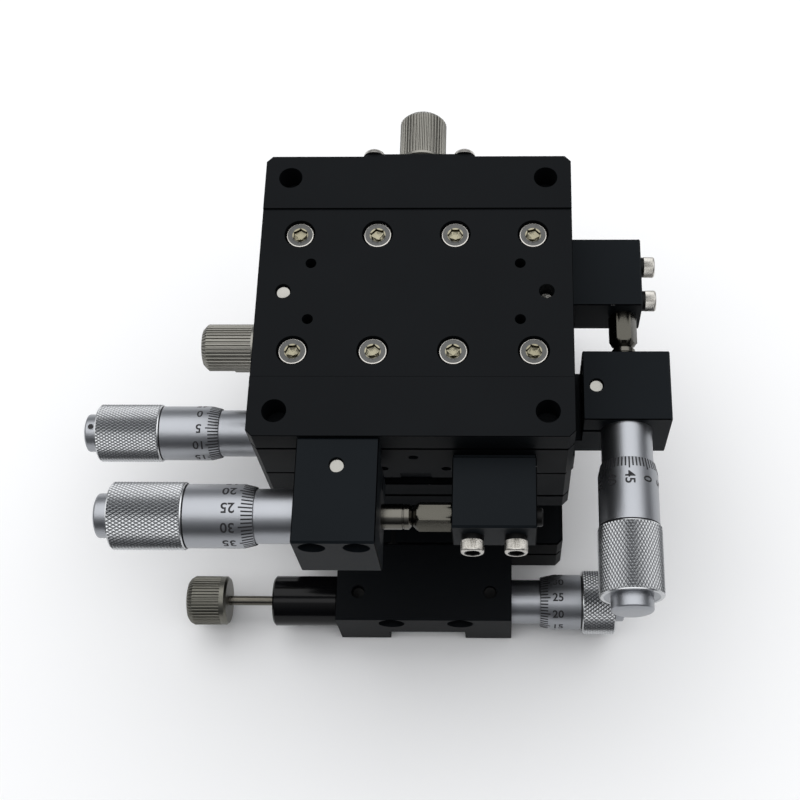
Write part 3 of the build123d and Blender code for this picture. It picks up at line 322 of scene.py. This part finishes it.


# The socket screws: stainless steel, turned, with a rounded rim, a chamfered mouth to the hex
# socket and a faceted bottom, tinted like oil and painted darker than the head as painted shade.
# A clamp screw's neck and socket are painted black as painted shade. A set screw shows a plain
# dished end. Each takes the place of its solid and, but for the height of its head, the solid's lengths.
# The socket's walls and bottom: tinted like oil and darker than the head, as painted shade in the socket.
socket_oil_and_shade = finish_material("socket_oil_and_shade", "stainless", dark=(0.16, 0.145, 0.095), light=(0.34, 0.32, 0.24),
                             rough=(0.06, 0.14), grain=2500.0, bump=0.25)
faced_steel = finish_material("faced_steel", "stainless", dark=(0.055, 0.056, 0.055),
                              light=(0.095, 0.095, 0.092), rough=(0.24, 0.36), grain=5000.0, bump=0.12)
# Black oxide for the turn block's set screws; the same black is painted as painted shade onto the clamp
# screws' necks and sockets and the anvils' stems.
black_oxide_and_shade = finish_material("black_oxide_and_shade", "stainless", dark=(0.0030, 0.0030, 0.0032),
                              light=(0.0060, 0.0060, 0.0060), rough=(0.30, 0.45), grain=5000.0, bump=0.08,
                              metal=0.0, specular=0.12)
cut_point = finish_material("cut_point", "stainless", dark=(0.17, 0.168, 0.155), light=(0.40, 0.39, 0.36),
                            rough=(0.14, 0.30), grain=1500.0, bump=0.30)
SCREW_FINISHES = (stainless, socket_oil_and_shade, faced_steel, black_oxide_and_shade, cut_point)
BARE, OILED_AND_SHADED, FACED, BLACK, CUT = range(5)

# The hex socket across its flats, in millimetres, for each diameter of head or set screw.
SOCKETS = {5.5: 2.5, 4.4: 2.0, 3.7: 2.0, 3.8: 1.5, 2.9: 1.5}


def hex_radius(angle, flats):
    """The radius of a hexagon at an angle."""
    sixth = math.radians(60)
    return flats / 2 / math.cos((angle % sixth) - sixth / 2)


def ribbed(angle, radius, count, depth):
    """The radius of a ribbed round at an angle: flat tops with valleys between them."""
    wave = 0.5 + 0.5 * math.cos(angle * count)
    valley = min(1.0, max(0.0, 1.25 - 2.0 * wave))
    return radius - depth * valley


def grow_loop(mesh, loop):
    """One more ring of faces on a loop of edges: its new points, new edges and the faces."""
    grown = bmesh.ops.extrude_edge_only(mesh, edges=loop)["geom"]
    points = [item for item in grown if isinstance(item, bmesh.types.BMVert)]
    faces = [item for item in grown if isinstance(item, bmesh.types.BMFace)]
    inside = set(points)
    edges = [item for item in grown if isinstance(item, bmesh.types.BMEdge)
             and item.verts[0] in inside and item.verts[1] in inside]
    return points, edges, faces


def ring_finish(ring):
    """The number of the finish on the way to a ring, the first where the ring names none."""
    return ring[2] if len(ring) > 2 else 0


def turned_rings(rings, segments, mesh=None):
    """A closed piece from rings along Z: how far along, the radius or its function of angle, the finish."""
    mesh = mesh or bmesh.new()
    points = bmesh.ops.create_circle(mesh, segments=segments, radius=1.0, cap_ends=False)["verts"]
    loop = list(dict.fromkeys(line for point in points for line in point.link_edges))
    first = loop
    for index, ring in enumerate(rings):
        along, radius = ring[:2]
        if index:
            points, loop, faces = grow_loop(mesh, loop)
            for face in faces:
                face.material_index = ring_finish(ring)
        for point in points:
            angle = math.atan2(point.co.y, point.co.x)
            reach = radius(angle) if callable(radius) else radius
            point.co = (reach * math.cos(angle), reach * math.sin(angle), along)
    for edges, finish in ((first, 0), (loop, ring_finish(rings[-1]))):
        for face in bmesh.ops.edgeloop_fill(mesh, edges=edges)["faces"]:
            face.material_index = finish
    return mesh


def split_islands(mesh):
    """The separate solids of a mesh, as lists of their points."""
    seen = set()
    islands = []
    for start in mesh.verts:
        if start in seen:
            continue
        seen.add(start)
        stack = [start]
        island = []
        while stack:
            point = stack.pop()
            island.append(point)
            for line in point.link_edges:
                other = line.other_vert(point)
                if other not in seen:
                    seen.add(other)
                    stack.append(other)
        islands.append(island)
    return islands


def outer_profile(spots, length, inner):
    """The outside of a screw from its tip up, each step at the radii of the points beyond the socket."""
    one_radius = 0.05
    levels = {}
    for step, reach in spots:
        if reach > inner:
            along = round((step + length / 2) / MM, 2)
            levels.setdefault(along, set()).add(round(reach / MM, 2))
    profile = []
    for along in sorted(levels):
        least, most = min(levels[along]), max(levels[along])
        ends = [least, most] if most - least > one_radius else [most]
        profile += [(along * MM, reach * MM) for reach in ends]
    return profile


def screw_place(island):
    """A screw's tip, which way its head points, its outer profile, its socket, and whether it has a head."""
    low = Vector([min(point.co[axis] for point in island) for axis in range(3)])
    high = Vector([max(point.co[axis] for point in island) for axis in range(3)])
    size = high - low
    centre = (low + high) / 2
    unlike = (abs(size[1] - size[2]), abs(size[0] - size[2]), abs(size[0] - size[1]))
    along = unlike.index(min(unlike))
    length = size[along]
    spots = []
    for point in island:
        away = point.co - centre
        step = away[along]
        away[along] = 0
        spots.append((step, away.length))
    widest = max(reach for step, reach in spots)
    rim = [step for step, reach in spots if reach > 0.97 * widest]
    has_head = max(rim) - min(rim) < 0.95 * length
    flats = SOCKETS[min(SOCKETS, key=lambda head: abs(head * MM - 2 * widest))] * MM
    socket_corners = 0.62 * flats
    open_end = rim if has_head else [step for step, reach in spots if reach < socket_corners]
    up = 1 if sum(open_end) > 0 else -1
    axis = Vector((0, 0, 0))
    axis[along] = up
    upward = [(up * step, reach) for step, reach in spots]
    return centre - axis * length / 2, axis, outer_profile(upward, length, socket_corners), flats, has_head


def along_axis(origin, axis):
    """The placing matrix whose Z runs along an axis from an origin, and whose X points up where it can."""
    upright = Vector((0, 0, 1))
    if abs(axis.dot(upright)) > 0.9:
        upright = Vector((0, 1, 0))
    side = axis.cross(upright)
    turn = Matrix((upright, side, axis)).transposed()
    return Matrix.Translation(origin) @ turn.to_4x4()


def real_head(profile, has_head, clamps):
    """The profile with the head as low as the real one's, and narrower where the screw clamps an anvil."""
    top, widest = profile[-1]
    if clamps:
        widest = 2.15 * MM
        below = [(along, min(reach, widest)) for along, reach in profile[:-1]]
        return below + [(top - 0.8 * MM, widest)]
    if has_head and widest > 2.6 * MM:
        return profile[:-1] + [(top - 0.55 * MM, widest)]
    return profile


def button_head(low, top, widest):
    """The rings of a low domed head."""
    flattened = 0.80
    return [(low + (top - low) * share, widest * math.cos(math.asin(share) * flattened))
            for share in (0.35, 0.60, 0.80, 0.93, 1.0)]


def rounded_rim(top, widest, rounding, shares):
    """The rings of a rim that is rounded by a quarter of a circle, at shares of the quarter."""
    turns = [math.radians(90 * share) for share in shares]
    return [(top - rounding + rounding * math.sin(turn), widest - rounding * (1 - math.cos(turn)))
            for turn in turns]


def hex_socket(top, rim, flats, spin, clamps):
    """The rings of a hex socket: the faced end, a chamfered mouth, the six walls and a faceted bottom."""
    mouth = min(0.61 * flats, rim - 0.08 * MM)
    depth = min(0.4 * top, 0.9 * MM)
    # The socket's walls and bottom are painted dark as painted shade: black in a clamp screw, oily and darker
    # than the head in the others.
    inner = BLACK if clamps else OILED_AND_SHADED

    def walls(angle):
        return hex_radius(angle + spin, flats)

    def bottom(angle):
        return 0.10 * walls(angle)

    return [(top, mouth, BARE if clamps else FACED), (top - 0.12 * MM, walls, inner),
            (top - depth, walls, inner), (top - depth - 0.75 * MM, bottom, inner)]


def screw_rings(profile, flats, has_head, clamps, spin):
    """The rings of one screw: its outer profile from the tip, its rim, and its socket or dished end."""
    profile = real_head(profile, has_head, clamps)
    top, widest = profile[-1]
    # A clamp screw's neck is painted black as painted shade.
    neck = BLACK if clamps else BARE
    tip_radius = profile[0][1]
    rings = [(0.0, tip_radius * 0.82), (0.18 * MM, tip_radius, neck)]
    rings += [(*ring, neck) for ring in profile[1:-1]]
    if not has_head:
        chamfer = 0.2 * MM
        return rings + [(top - chamfer, widest), (top, widest - chamfer),
                        (top - 0.05 * MM, widest * 0.6, CUT), (top - 0.10 * MM, widest * 0.1, CUT)]
    head_low = max([along for along, reach in profile[:-1] if reach > 0.97 * widest], default=0.0)

    def fine_ribs(angle):
        return ribbed(angle, widest, 48, 0.10 * MM)

    if top - head_low < 1.6 * MM:
        rings += button_head(head_low, top, widest)
    else:
        if clamps:
            rings[-1] = (rings[-1][0], fine_ribs)
            rings.append((top - 0.42 * MM, fine_ribs))
        rings += rounded_rim(top, widest, 0.32 * MM, (0.0, 0.35, 0.70, 1.0))
    top, rim = rings[-1]
    return rings + hex_socket(top, rim, flats, spin, clamps)


def clamps_anvil(tip, axis, widest, blocks):
    """Whether a screw is a level cap screw of full size near the middle of one of the anvils' blocks."""
    level = abs(axis.z) < 0.5
    full_size = abs(widest - 2.75 * MM) < 0.05 * MM
    near = any((tip - block).length < 20 * MM for block in blocks)
    return level and full_size and near


def socket_spin(tip):
    """The angle at which a screw's socket came to rest, different from one place to the next."""
    steps = round((tip.x * 3 + tip.y * 7 + tip.z * 5) / MM)
    return math.radians(steps * 17 % 60)


def detailed_screws(node, finishes=SCREW_FINISHES, blocks=()):
    """All the screws of a node, turned in detail. Those that clamp an anvil have finely ribbed heads."""
    source = cad_copy(node)
    mesh = bmesh.new()
    for island in split_islands(source):
        tip, axis, profile, flats, has_head = screw_place(island)
        clamps = has_head and clamps_anvil(tip, axis, profile[-1][1], blocks)
        before = set(mesh.verts)
        rings = screw_rings(profile, flats, has_head, clamps, socket_spin(tip))
        turned_rings(rings, 192 if clamps else 60, mesh)
        fresh = [point for point in mesh.verts if point not in before]
        bmesh.ops.transform(mesh, matrix=along_axis(tip, axis), verts=fresh)
    source.free()
    bmesh.ops.recalc_face_normals(mesh, faces=mesh.faces)
    return keep_piece(mesh, node + ".turned", frame["nodes"][node]["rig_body"], finishes, (node,))


def middle_of(node):
    """The middle of a CAD node."""
    low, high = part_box(node)
    return (low + high) / 2


for node in ("x_table_screws", "y_base_screws", "turn_arm_screw"):
    detailed_screws(node)
detailed_screws("turn_block_screws", finishes=(black_oxide_and_shade,) * len(SCREW_FINISHES))
detailed_screws("middle_screws", blocks=(middle_of("x_anvil_block"), middle_of("y_anvil_block")))


# The micrometer heads: a bevelled drum with fifty lines and a number at every fifth, a
# diamond-knurled grip pressed on behind it, and a small domed cap. Brass, satin chromed.
# Black for the print of the scale, and also painted as painted shade into the drums' bores, lips and grooves,
# onto the sleeves' ends and into the spanner holes.
black_paint_and_shade = finish_material("scale_paint_and_shade", "chrome", dark=(0.010, 0.010, 0.011), light=(0.022, 0.022, 0.024),
                             rough=(0.5, 0.7), grain=9000.0, bump=0.05, metal=0.0, specular=0.3)


def knurl_finish():
    """The grip's chrome: bright on the points of the knurl and painted dark in its valleys as painted shade.
    """
    material = finish_material("knurl_chrome", "chrome", dark=(0.47, 0.48, 0.49), light=(0.57, 0.58, 0.59),
                               rough=(0.24, 0.32), grain=5000.0, bump=0.02)
    tree = material.node_tree
    colour = tree.nodes["Principled BSDF"].inputs["Base Color"]
    rise = add_node(tree, "ShaderNodeAttribute", attribute_name="rise")
    valley_shade_mix = add_node(tree, "ShaderNodeMapRange", in_From_Min=0.08, in_From_Max=0.36)
    # Dark in the valleys, as painted shade in the creases of the knurl.
    tones = add_node(tree, "ShaderNodeMix", data_type="RGBA", in_A=(0.11, 0.112, 0.118, 1))
    link = tree.links.new
    link(colour.links[0].from_socket, tones.inputs["B"])
    link(rise.outputs["Fac"], valley_shade_mix.inputs["Value"])
    link(valley_shade_mix.outputs["Result"], tones.inputs["Factor"])
    link(tones.outputs["Result"], colour)
    return material


knurl_chrome = knurl_finish()

TO_LEFT = Vector((-1, 0, 0))
TO_RIGHT = Vector((1, 0, 0))
TO_FRONT = Vector((0, -1, 0))
TO_BACK = Vector((0, 1, 0))

# Sizes in millimetres. Mouth, drum, knurl and sleeve are diameters, bevel, length, grip and cap run
# along the head, and cell is one diamond of the knurl, across and along. The line called mark
# stands at so many degrees from the top. The lines are so long from the mouth, and the numbers,
# text high, start so far from it. The way is from the mouth to the cap.
SLIDE_HEAD = {"cell": (0.355, 0.62), "mouth": 10.8, "drum": 11.9, "bevel": 2.3, "length": 13.0, "knurl": 12.7,
              "grip": 13.8, "cap": 3.1, "sleeve": 10.2, "long": 2.6, "text": 1.9, "from": 3.35}
HEADS = {
    "x": {**SLIDE_HEAD, "way": TO_LEFT, "mark": 25, "at": 3.5},
    "y": {**SLIDE_HEAD, "way": TO_FRONT, "mark": 45, "at": -2.0},
    "z": {**SLIDE_HEAD, "way": TO_LEFT, "mark": 5, "at": 11.6, "long": 2.7, "from": 3.0},
    "turn": {"cell": (0.44, 0.52), "mouth": 10.8, "drum": 12.1, "bevel": 2.9, "length": 9.2, "knurl": 14.0,
             "grip": 7.2, "cap": 2.4, "sleeve": 9.7, "long": 2.2, "text": 1.75, "from": 2.8,
             "way": TO_RIGHT, "mark": 25, "at": -6.5},
}
CAP_RADIUS = 8.3 / 2 * MM
LINES = 50
NUMBERED = 5


def knurled_grip(radius, start, length, core, cell):
    """A ring with a diamond knurl: points in staggered rows, with a plain bevel at each end."""
    rim = 0.28 * MM
    depth = 0.24 * MM
    plain = length - 2 * rim
    around = 2 * round(math.pi * radius / (cell[0] * MM))
    rows = 2 * round(plain / (2 * cell[1] * MM))
    mesh = bmesh.new()
    # Rise is 1 on the points and 0 in the valleys; the grip's material paints the valleys dark by it, as
    # painted shade.
    rise = mesh.verts.layers.float.new("rise")
    bmesh.ops.create_grid(mesh, x_segments=around, y_segments=rows, size=0.5)
    valleys = []
    for point in mesh.verts:
        column = round((point.co.x + 0.5) * around)
        row = round((point.co.y + 0.5) * rows)
        peak = (column + row) % 2 == 0
        angle = 2 * math.pi * column / around
        reach = radius if peak else radius - depth
        point.co = (reach * math.cos(angle), reach * math.sin(angle), start + rim + plain * row / rows)
        point[rise] = 1.0 if peak else 0.0
        if not peak:
            valleys.append(point)
    bmesh.ops.connect_verts(mesh, verts=valleys)
    bmesh.ops.remove_doubles(mesh, verts=mesh.verts, dist=WELD)
    ends = [line for line in mesh.edges if line.is_boundary]
    middle = start + length / 2
    for side in (-1, 1):
        loop = [line for line in ends if side * (line.verts[0].co.z - middle) > 0]
        for along, reach in ((rim * 0.15, radius - depth * 0.9), (rim, radius - rim), (rim, core)):
            points, loop = grow_loop(mesh, loop)[:2]
            for point in points:
                angle = math.atan2(point.co.y, point.co.x)
                point.co = (reach * math.cos(angle), reach * math.sin(angle),
                            middle + side * (length / 2 - rim + along))
                point[rise] = 1.0
    bmesh.ops.bridge_loops(mesh, edges=[line for line in mesh.edges if line.is_boundary])
    return mesh


def line_angle(head, line):
    """The angle from the top at which a line of the dial stands."""
    return math.radians(head["at"] + (line - head["mark"]) * (360 / LINES))


def scale_marks(head):
    """The fifty lines of the dial: thin bars on the bevel, of which every fifth is longer."""
    mesh = bmesh.new()
    mouth, drum = head["mouth"] / 2 * MM, head["drum"] / 2 * MM
    bevel = head["bevel"] * MM
    lean = math.atan2(drum - mouth, bevel)
    thick, wide = 0.03 * MM, 0.29 * MM
    for line in range(LINES):
        far_end = head["long"] * MM if line % NUMBERED == 0 else (head["long"] - 0.5) * MM
        spans = [(0.06 * MM, min(bevel, far_end), mouth, lean)]
        if far_end > bevel:
            spans.append((bevel, far_end, drum, 0.0))
        for low, high, base, tilt in spans:
            bar = bmesh.ops.create_cube(mesh, size=1.0)["verts"]
            middle = (low + high) / 2
            reach = base + math.tan(tilt) * middle
            size = Matrix.Diagonal((thick, wide, (high - low) / math.cos(tilt), 1))
            turn = Matrix.Rotation(-line_angle(head, line), 4, "Z")
            place = turn @ Matrix.Translation((reach, 0, middle)) @ Matrix.Rotation(tilt, 4, "Y")
            bmesh.ops.transform(mesh, matrix=place @ size, verts=bar)
    return mesh


def number_shape(text, height):
    """One number as a thin solid, centred, with strokes a little bolder than the letters' own."""
    capital_share = 0.70
    curve = bpy.data.curves.new("number", "FONT")
    curve.body = text
    curve.size = height / capital_share
    curve.align_x = "CENTER"
    curve.align_y = "CENTER"
    curve.resolution_u = 3
    curve.extrude = 0.015 * MM
    curve.offset = 0.05 * MM
    holder = bpy.data.objects.new("number", curve)
    shape = bpy.data.meshes.new_from_object(holder)
    bpy.data.objects.remove(holder)
    return shape


def scale_numbers(head, mesh):
    """The numbers, each behind its line, cut into strips that bend with the drum."""
    bends = 8
    on_plane = 0.00001 * MM
    drum = head["drum"] / 2 * MM
    height = head["text"] * MM
    centre = head["from"] * MM + 0.62 * height
    for number in range(0, LINES, NUMBERED):
        shape = number_shape(str(number), height)
        before = set(mesh.verts)
        mesh.from_mesh(shape)
        for cut in range(-bends // 2, bends // 2 + 1):
            fresh = [point for point in mesh.verts if point not in before]
            lines = dict.fromkeys(line for point in fresh for line in point.link_edges)
            faces = dict.fromkeys(face for point in fresh for face in point.link_faces)
            bmesh.ops.bisect_plane(mesh, geom=fresh + list(lines) + list(faces), dist=on_plane,
                                   plane_co=(0, height * cut / bends, 0), plane_no=(0, 1, 0))
        for point in [point for point in mesh.verts if point not in before]:
            angle = line_angle(head, number) + point.co.y / drum
            reach = drum + point.co.z
            point.co = (reach * math.cos(angle), -reach * math.sin(angle), centre + point.co.x)
        bpy.data.meshes.remove(shape)
    return mesh


def drum_rings(drum, mouth, bevel, length, end, bore, core):
    """A drum with its tube: the bore, the lip of the mouth, the bevel, and a groove before the grip; bore,
    lip and groove are painted black as painted shade.
    """
    tube = core + 0.05 * MM
    groove = drum - 0.30 * MM
    groove_end = length + 0.4 * MM
    tube_end = end - 0.06 * MM
    # Finish 1 paints the bore, the lip of the mouth and the groove black as painted shade.
    return [(end - 1.8 * MM, bore), (0.45 * MM, bore, 1), (0.0, mouth - 0.07 * MM, 1), (0.05 * MM, mouth),
            (bevel, drum), (length - 0.30 * MM, drum), (length - 0.24 * MM, groove, 1),
            (groove_end, groove, 1), (groove_end, tube), (tube_end, tube), (tube_end, CAP_RADIUS / 2)]


def cap_rings(end, cap):
    """A cap from inside the grip: a fine groove, the side, a rounded rim and a dome that is almost flat."""
    groove = CAP_RADIUS - 0.16 * MM
    rim = end + cap - 0.30 * MM
    dome = ((3.4, 0.17), (2.3, 0.25), (1.1, 0.29), (0.2, 0.30))
    rings = [(end - 1.0 * MM, CAP_RADIUS), (end + 0.02 * MM, CAP_RADIUS - 0.02 * MM),
             (end + 0.02 * MM, groove), (end + 0.22 * MM, groove), (end + 0.26 * MM, CAP_RADIUS)]
    rings += rounded_rim(rim, CAP_RADIUS, 0.45 * MM, (0.0, 0.25, 0.5, 0.75, 1.0))
    return rings + [(rim + rise * MM, reach * MM) for reach, rise in dome]


def length_of(node, way):
    """How far a node reaches along a way."""
    low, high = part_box(node)
    return abs((high - low).dot(way))


def start_of(node, way):
    """The middle of the face where a node starts along a way."""
    return middle_of(node) - way * length_of(node, way) / 2


def micrometer_dial(name, head):
    """Drum, grip, cap and scale of one head, in the place of its CAD thimble."""
    node = name + "_thimble"
    place = along_axis(start_of(node, head["way"]), head["way"])
    mouth, drum, knurl = head["mouth"] / 2 * MM, head["drum"] / 2 * MM, head["knurl"] / 2 * MM
    bore = head["sleeve"] / 2 * MM + 0.12 * MM
    core = drum - 0.5 * MM
    bevel, length, grip = head["bevel"] * MM, head["length"] * MM, head["grip"] * MM
    end = length + grip
    parts = {
        "drum": (turned_rings(drum_rings(drum, mouth, bevel, length, end, bore, core), 128),
                 (satin_chrome, black_paint_and_shade)),
        "grip": (knurled_grip(knurl, length, grip, core, head["cell"]), (knurl_chrome,)),
        "cap": (turned_rings(cap_rings(end, head["cap"] * MM), 96), (satin_chrome,)),
        "scale": (scale_numbers(head, scale_marks(head)), (black_paint_and_shade,)),
    }
    for label, (mesh, finishes) in parts.items():
        bmesh.ops.recalc_face_normals(mesh, faces=mesh.faces)
        bmesh.ops.transform(mesh, matrix=place, verts=mesh.verts)
        stands_for = (node,) if label == "drum" else ()
        keep_piece(mesh, node + "." + label, frame["nodes"][node]["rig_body"], finishes, stands_for,
                   sharp=20 if label == "grip" else 34)


def dark_ends(name, way):
    """The flat ends of a sleeve, painted black like the inside of the drum, as painted shade."""
    sleeve = frame["nodes"][name + "_sleeve"].data
    sleeve.materials.append(black_paint_and_shade)
    # Faces along the way take the black as painted shade.
    for face in sleeve.polygons:
        if abs(face.normal.dot(way)) > 0.9:
            face.material_index = 1


def spanner_hole(name, turn):
    """A spanner hole with a bright rim on the side of a cap, at an angle from the top, its bottom painted
    black as painted shade.
    """
    node = name + "_thimble"
    way = HEADS[name]["way"]
    from_end = 1.9 * MM
    # The bottom of the hole takes finish 1, painted black as painted shade.
    rings = [(-0.30 * MM, 0.74 * MM), (0.01 * MM, 0.74 * MM), (0.05 * MM, 0.70 * MM), (0.05 * MM, 0.62 * MM),
             (0.01 * MM, 0.58 * MM, 1)]
    mesh = turned_rings(rings, 32)
    bmesh.ops.recalc_face_normals(mesh, faces=mesh.faces)
    place = (along_axis(start_of(node, -way), way) @ Matrix.Rotation(-math.radians(turn), 4, "Z")
             @ Matrix.Translation((CAP_RADIUS, 0, -from_end)) @ Matrix.Rotation(math.radians(90), 4, "Y"))
    bmesh.ops.transform(mesh, matrix=place, verts=mesh.verts)
    keep_piece(mesh, node + ".spanner_hole", frame["nodes"][node]["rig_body"], (satin_chrome, black_paint_and_shade))


for name, head in HEADS.items():
    micrometer_dial(name, head)
    dark_ends(name, head["way"])
for name, turn in (("z", 3), ("x", 170), ("y", 190)):
    spanner_hole(name, turn)


# The spindles of the slides and of the tangent micrometer: hardened rods, ground and lapped,
# with a relief groove near the tip. The lift's spindle is hidden and stays as the CAD has it.
polished = finish_material("polished_steel", "steel", dark=(0.085, 0.080, 0.070), light=(0.125, 0.120, 0.105),
                           rough=(0.14, 0.24), grain=3000.0, bump=0.04)


def turned_node(node, way, rings, segments, finishes, label, sharp=34):
    """A turned piece in the place of its CAD node, from the node's start along its way."""
    mesh = turned_rings(rings, segments)
    bmesh.ops.recalc_face_normals(mesh, faces=mesh.faces)
    bmesh.ops.transform(mesh, matrix=along_axis(start_of(node, way), way), verts=mesh.verts)
    return keep_piece(mesh, node + "." + label, frame["nodes"][node]["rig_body"], finishes, (node,), sharp)


def spindle(node, way, radius):
    """A spindle with a small chamfer inside the thimble, a relief groove and a larger one at its tip."""
    tip = length_of(node, way)
    relief = radius - 0.14 * MM
    rings = [(0.0, radius - 0.2 * MM), (0.2 * MM, radius), (tip - 1.75 * MM, radius),
             (tip - 1.65 * MM, relief), (tip - 1.45 * MM, relief), (tip - 1.35 * MM, radius),
             (tip - 0.5 * MM, radius), (tip, radius - 0.5 * MM)]
    turned_node(node, way, rings, 64, (polished,), "lapped")


spindle("x_spindle", TO_RIGHT, 2.4 * MM)
spindle("y_spindle", TO_BACK, 2.4 * MM)
spindle("turn_spindle", TO_LEFT, 2.0 * MM)


# The anvils that the spindles push on: hexagon screws, nickel plated and gone dull, with
# both ends of the hexagon turned round and a stem that the block clamps, painted black as painted shade.
dull_nickel = finish_material("dull_nickel", "nickel", dark=(0.052, 0.050, 0.042),
                              light=(0.090, 0.086, 0.074), rough=(0.22, 0.34), grain=4000.0, bump=0.12)


def anvil(node, way):
    """An anvil: the flat end, the hexagon cut back by a cone at each end, and the stem."""
    flats = 5.0 * MM
    stem = 1.75 * MM
    corner = flats / 2 + 0.40 * MM
    shoulder = 7.3 * MM
    end = length_of(node, way)

    def hexagon(limit):
        return lambda angle: min(limit, hex_radius(angle + math.radians(30), flats))

    # The stem takes finish 1, black, as painted shade.
    rings = [(0.0, flats / 2 - 0.8 * MM), (0.8 * MM, flats / 2), (1.25 * MM, hexagon(corner)),
             (shoulder - 0.25 * MM, hexagon(corner)), (shoulder, hexagon(flats / 2 + 0.05 * MM)),
             (shoulder, stem), (end - 0.25 * MM, stem, 1), (end, stem - 0.25 * MM, 1)]
    turned_node(node, way, rings, 96, (dull_nickel, black_oxide_and_shade), "hexagon")


anvil("x_anvil", TO_RIGHT)
anvil("y_anvil", TO_BACK)


# The lock screws: nickel-plated knobs with straight ribs for the fingers, bevelled ends and
# a collar that presses on the slotted plate.
def lock_knob(node, way):
    """Shank, collar and ribbed head of a lock screw, from the shank's end outwards."""
    end = length_of(node, way)
    knob_length, collar_length = 11.0 * MM, 1.9 * MM
    knob = end - knob_length
    collar = knob - collar_length
    radius = 4.8 * MM

    def grip(limit):
        return lambda angle: ribbed(angle, limit, 40, 0.30 * MM)

    rings = [(0.0, 1.2 * MM), (0.3 * MM, 1.5 * MM), (collar, 1.5 * MM), (collar, 2.8 * MM),
             (collar + 0.2 * MM, 3.0 * MM), (knob, 3.0 * MM), (knob, radius - 0.3 * MM),
             (knob + 0.3 * MM, radius), (knob + 0.8 * MM, radius), (knob + 0.85 * MM, grip(radius)),
             (end - 1.0 * MM, grip(radius)), (end - 0.45 * MM, grip(radius - 0.50 * MM)),
             (end, radius - 1.0 * MM), (end, 2.2 * MM), (end - 0.25 * MM, 1.9 * MM)]
    turned_node(node, way, rings, 320, (old_nickel,), "ribbed", sharp=24)


lock_knob("x_lock_knob", TO_BACK)
lock_knob("y_lock_knob", TO_LEFT)
lock_knob("z_lock_knob", TO_LEFT)


# The spring plunger: a glossy black barrel screwed into the block, a plain rod, and a ribbed
# nickel knob that pulls it back.
gloss_black = finish_material("gloss_black", "black_anodised", dark=(0.0020, 0.0020, 0.0024),
                              light=(0.0035, 0.0035, 0.0040), rough=(0.10, 0.18), grain=5000.0, bump=0.03,
                              metal=0.0, specular=0.16)
gloss_edge = finish_material("gloss_edge", "black_anodised", dark=(0.003, 0.003, 0.0034),
                             light=(0.006, 0.006, 0.0065), rough=(0.15, 0.25), grain=5000.0, bump=0.03,
                             metal=0.0, specular=0.20)
dark_knob = finish_material("plunger_knob", "nickel", dark=(0.105, 0.102, 0.086), light=(0.20, 0.195, 0.17),
                            rough=(0.28, 0.44), grain=4000.0, bump=0.16)
dark_rod = finish_material("plunger_rod", "nickel", dark=(0.085, 0.080, 0.066), light=(0.15, 0.14, 0.12),
                           rough=(0.18, 0.30), grain=4000.0, bump=0.12)


def plunger_barrel():
    """A copy of the CAD barrel with the outer rim of its free end rounded."""
    node = "plunger_body"
    mesh = cad_copy(node)
    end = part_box(node)[0].x
    corners = [line for line in mesh.edges if outside_corner(line)
               and all(abs(point.co.x - end) < 0.01 * MM for point in line.verts)]
    centre = sum((point.co for line in corners for point in line.verts), Vector()) / (2 * len(corners))
    widest = max((line.verts[0].co - centre).length for line in corners)
    outer_rim = [line for line in corners if (line.verts[0].co - centre).length > 0.8 * widest]
    bmesh.ops.bevel(mesh, geom=outer_rim, offset=1.1 * MM, offset_type="OFFSET", segments=6, profile=0.5,
                    affect="EDGES", clamp_overlap=True, material=1)
    keep_piece(mesh, node + ".milled", frame["nodes"][node]["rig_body"], (gloss_black, gloss_edge), (node,))


def plunger_pin():
    """The pin with its collar, the rod through the barrel, and the knob, from the pin's tip outwards."""
    node = "plunger"
    end = length_of(node, TO_LEFT)
    knob_length, bare_rod, barrel_length = 8.8 * MM, 10.3 * MM, 14.4 * MM
    knob = end - knob_length
    collar_end = knob - bare_rod - barrel_length
    collar_start = collar_end - 1.5 * MM
    pin, collar, rod = 1.5 * MM, 2.8 * MM, 1.05 * MM
    side = 5.35 * MM

    def grip(limit):
        return lambda angle: ribbed(angle, limit, 45, 0.28 * MM)

    rings = [(0.0, 1.0 * MM), (0.5 * MM, pin), (collar_start, pin), (collar_start, collar),
             (collar_end, collar), (collar_end, rod), (knob, rod, 1), (knob, 4.9 * MM),
             (knob + 0.5 * MM, side), (knob + 1.5 * MM, side), (knob + 1.6 * MM, grip(side)),
             (end - 1.3 * MM, grip(5.4 * MM)), (end - 0.45 * MM, grip(4.9 * MM)), (end, 4.3 * MM),
             (end, 2.6 * MM), (end - 0.3 * MM, 2.2 * MM)]
    turned_node(node, TO_LEFT, rings, 360, (dark_knob, dark_rod), "ribbed", sharp=24)


plunger_barrel()
plunger_pin()
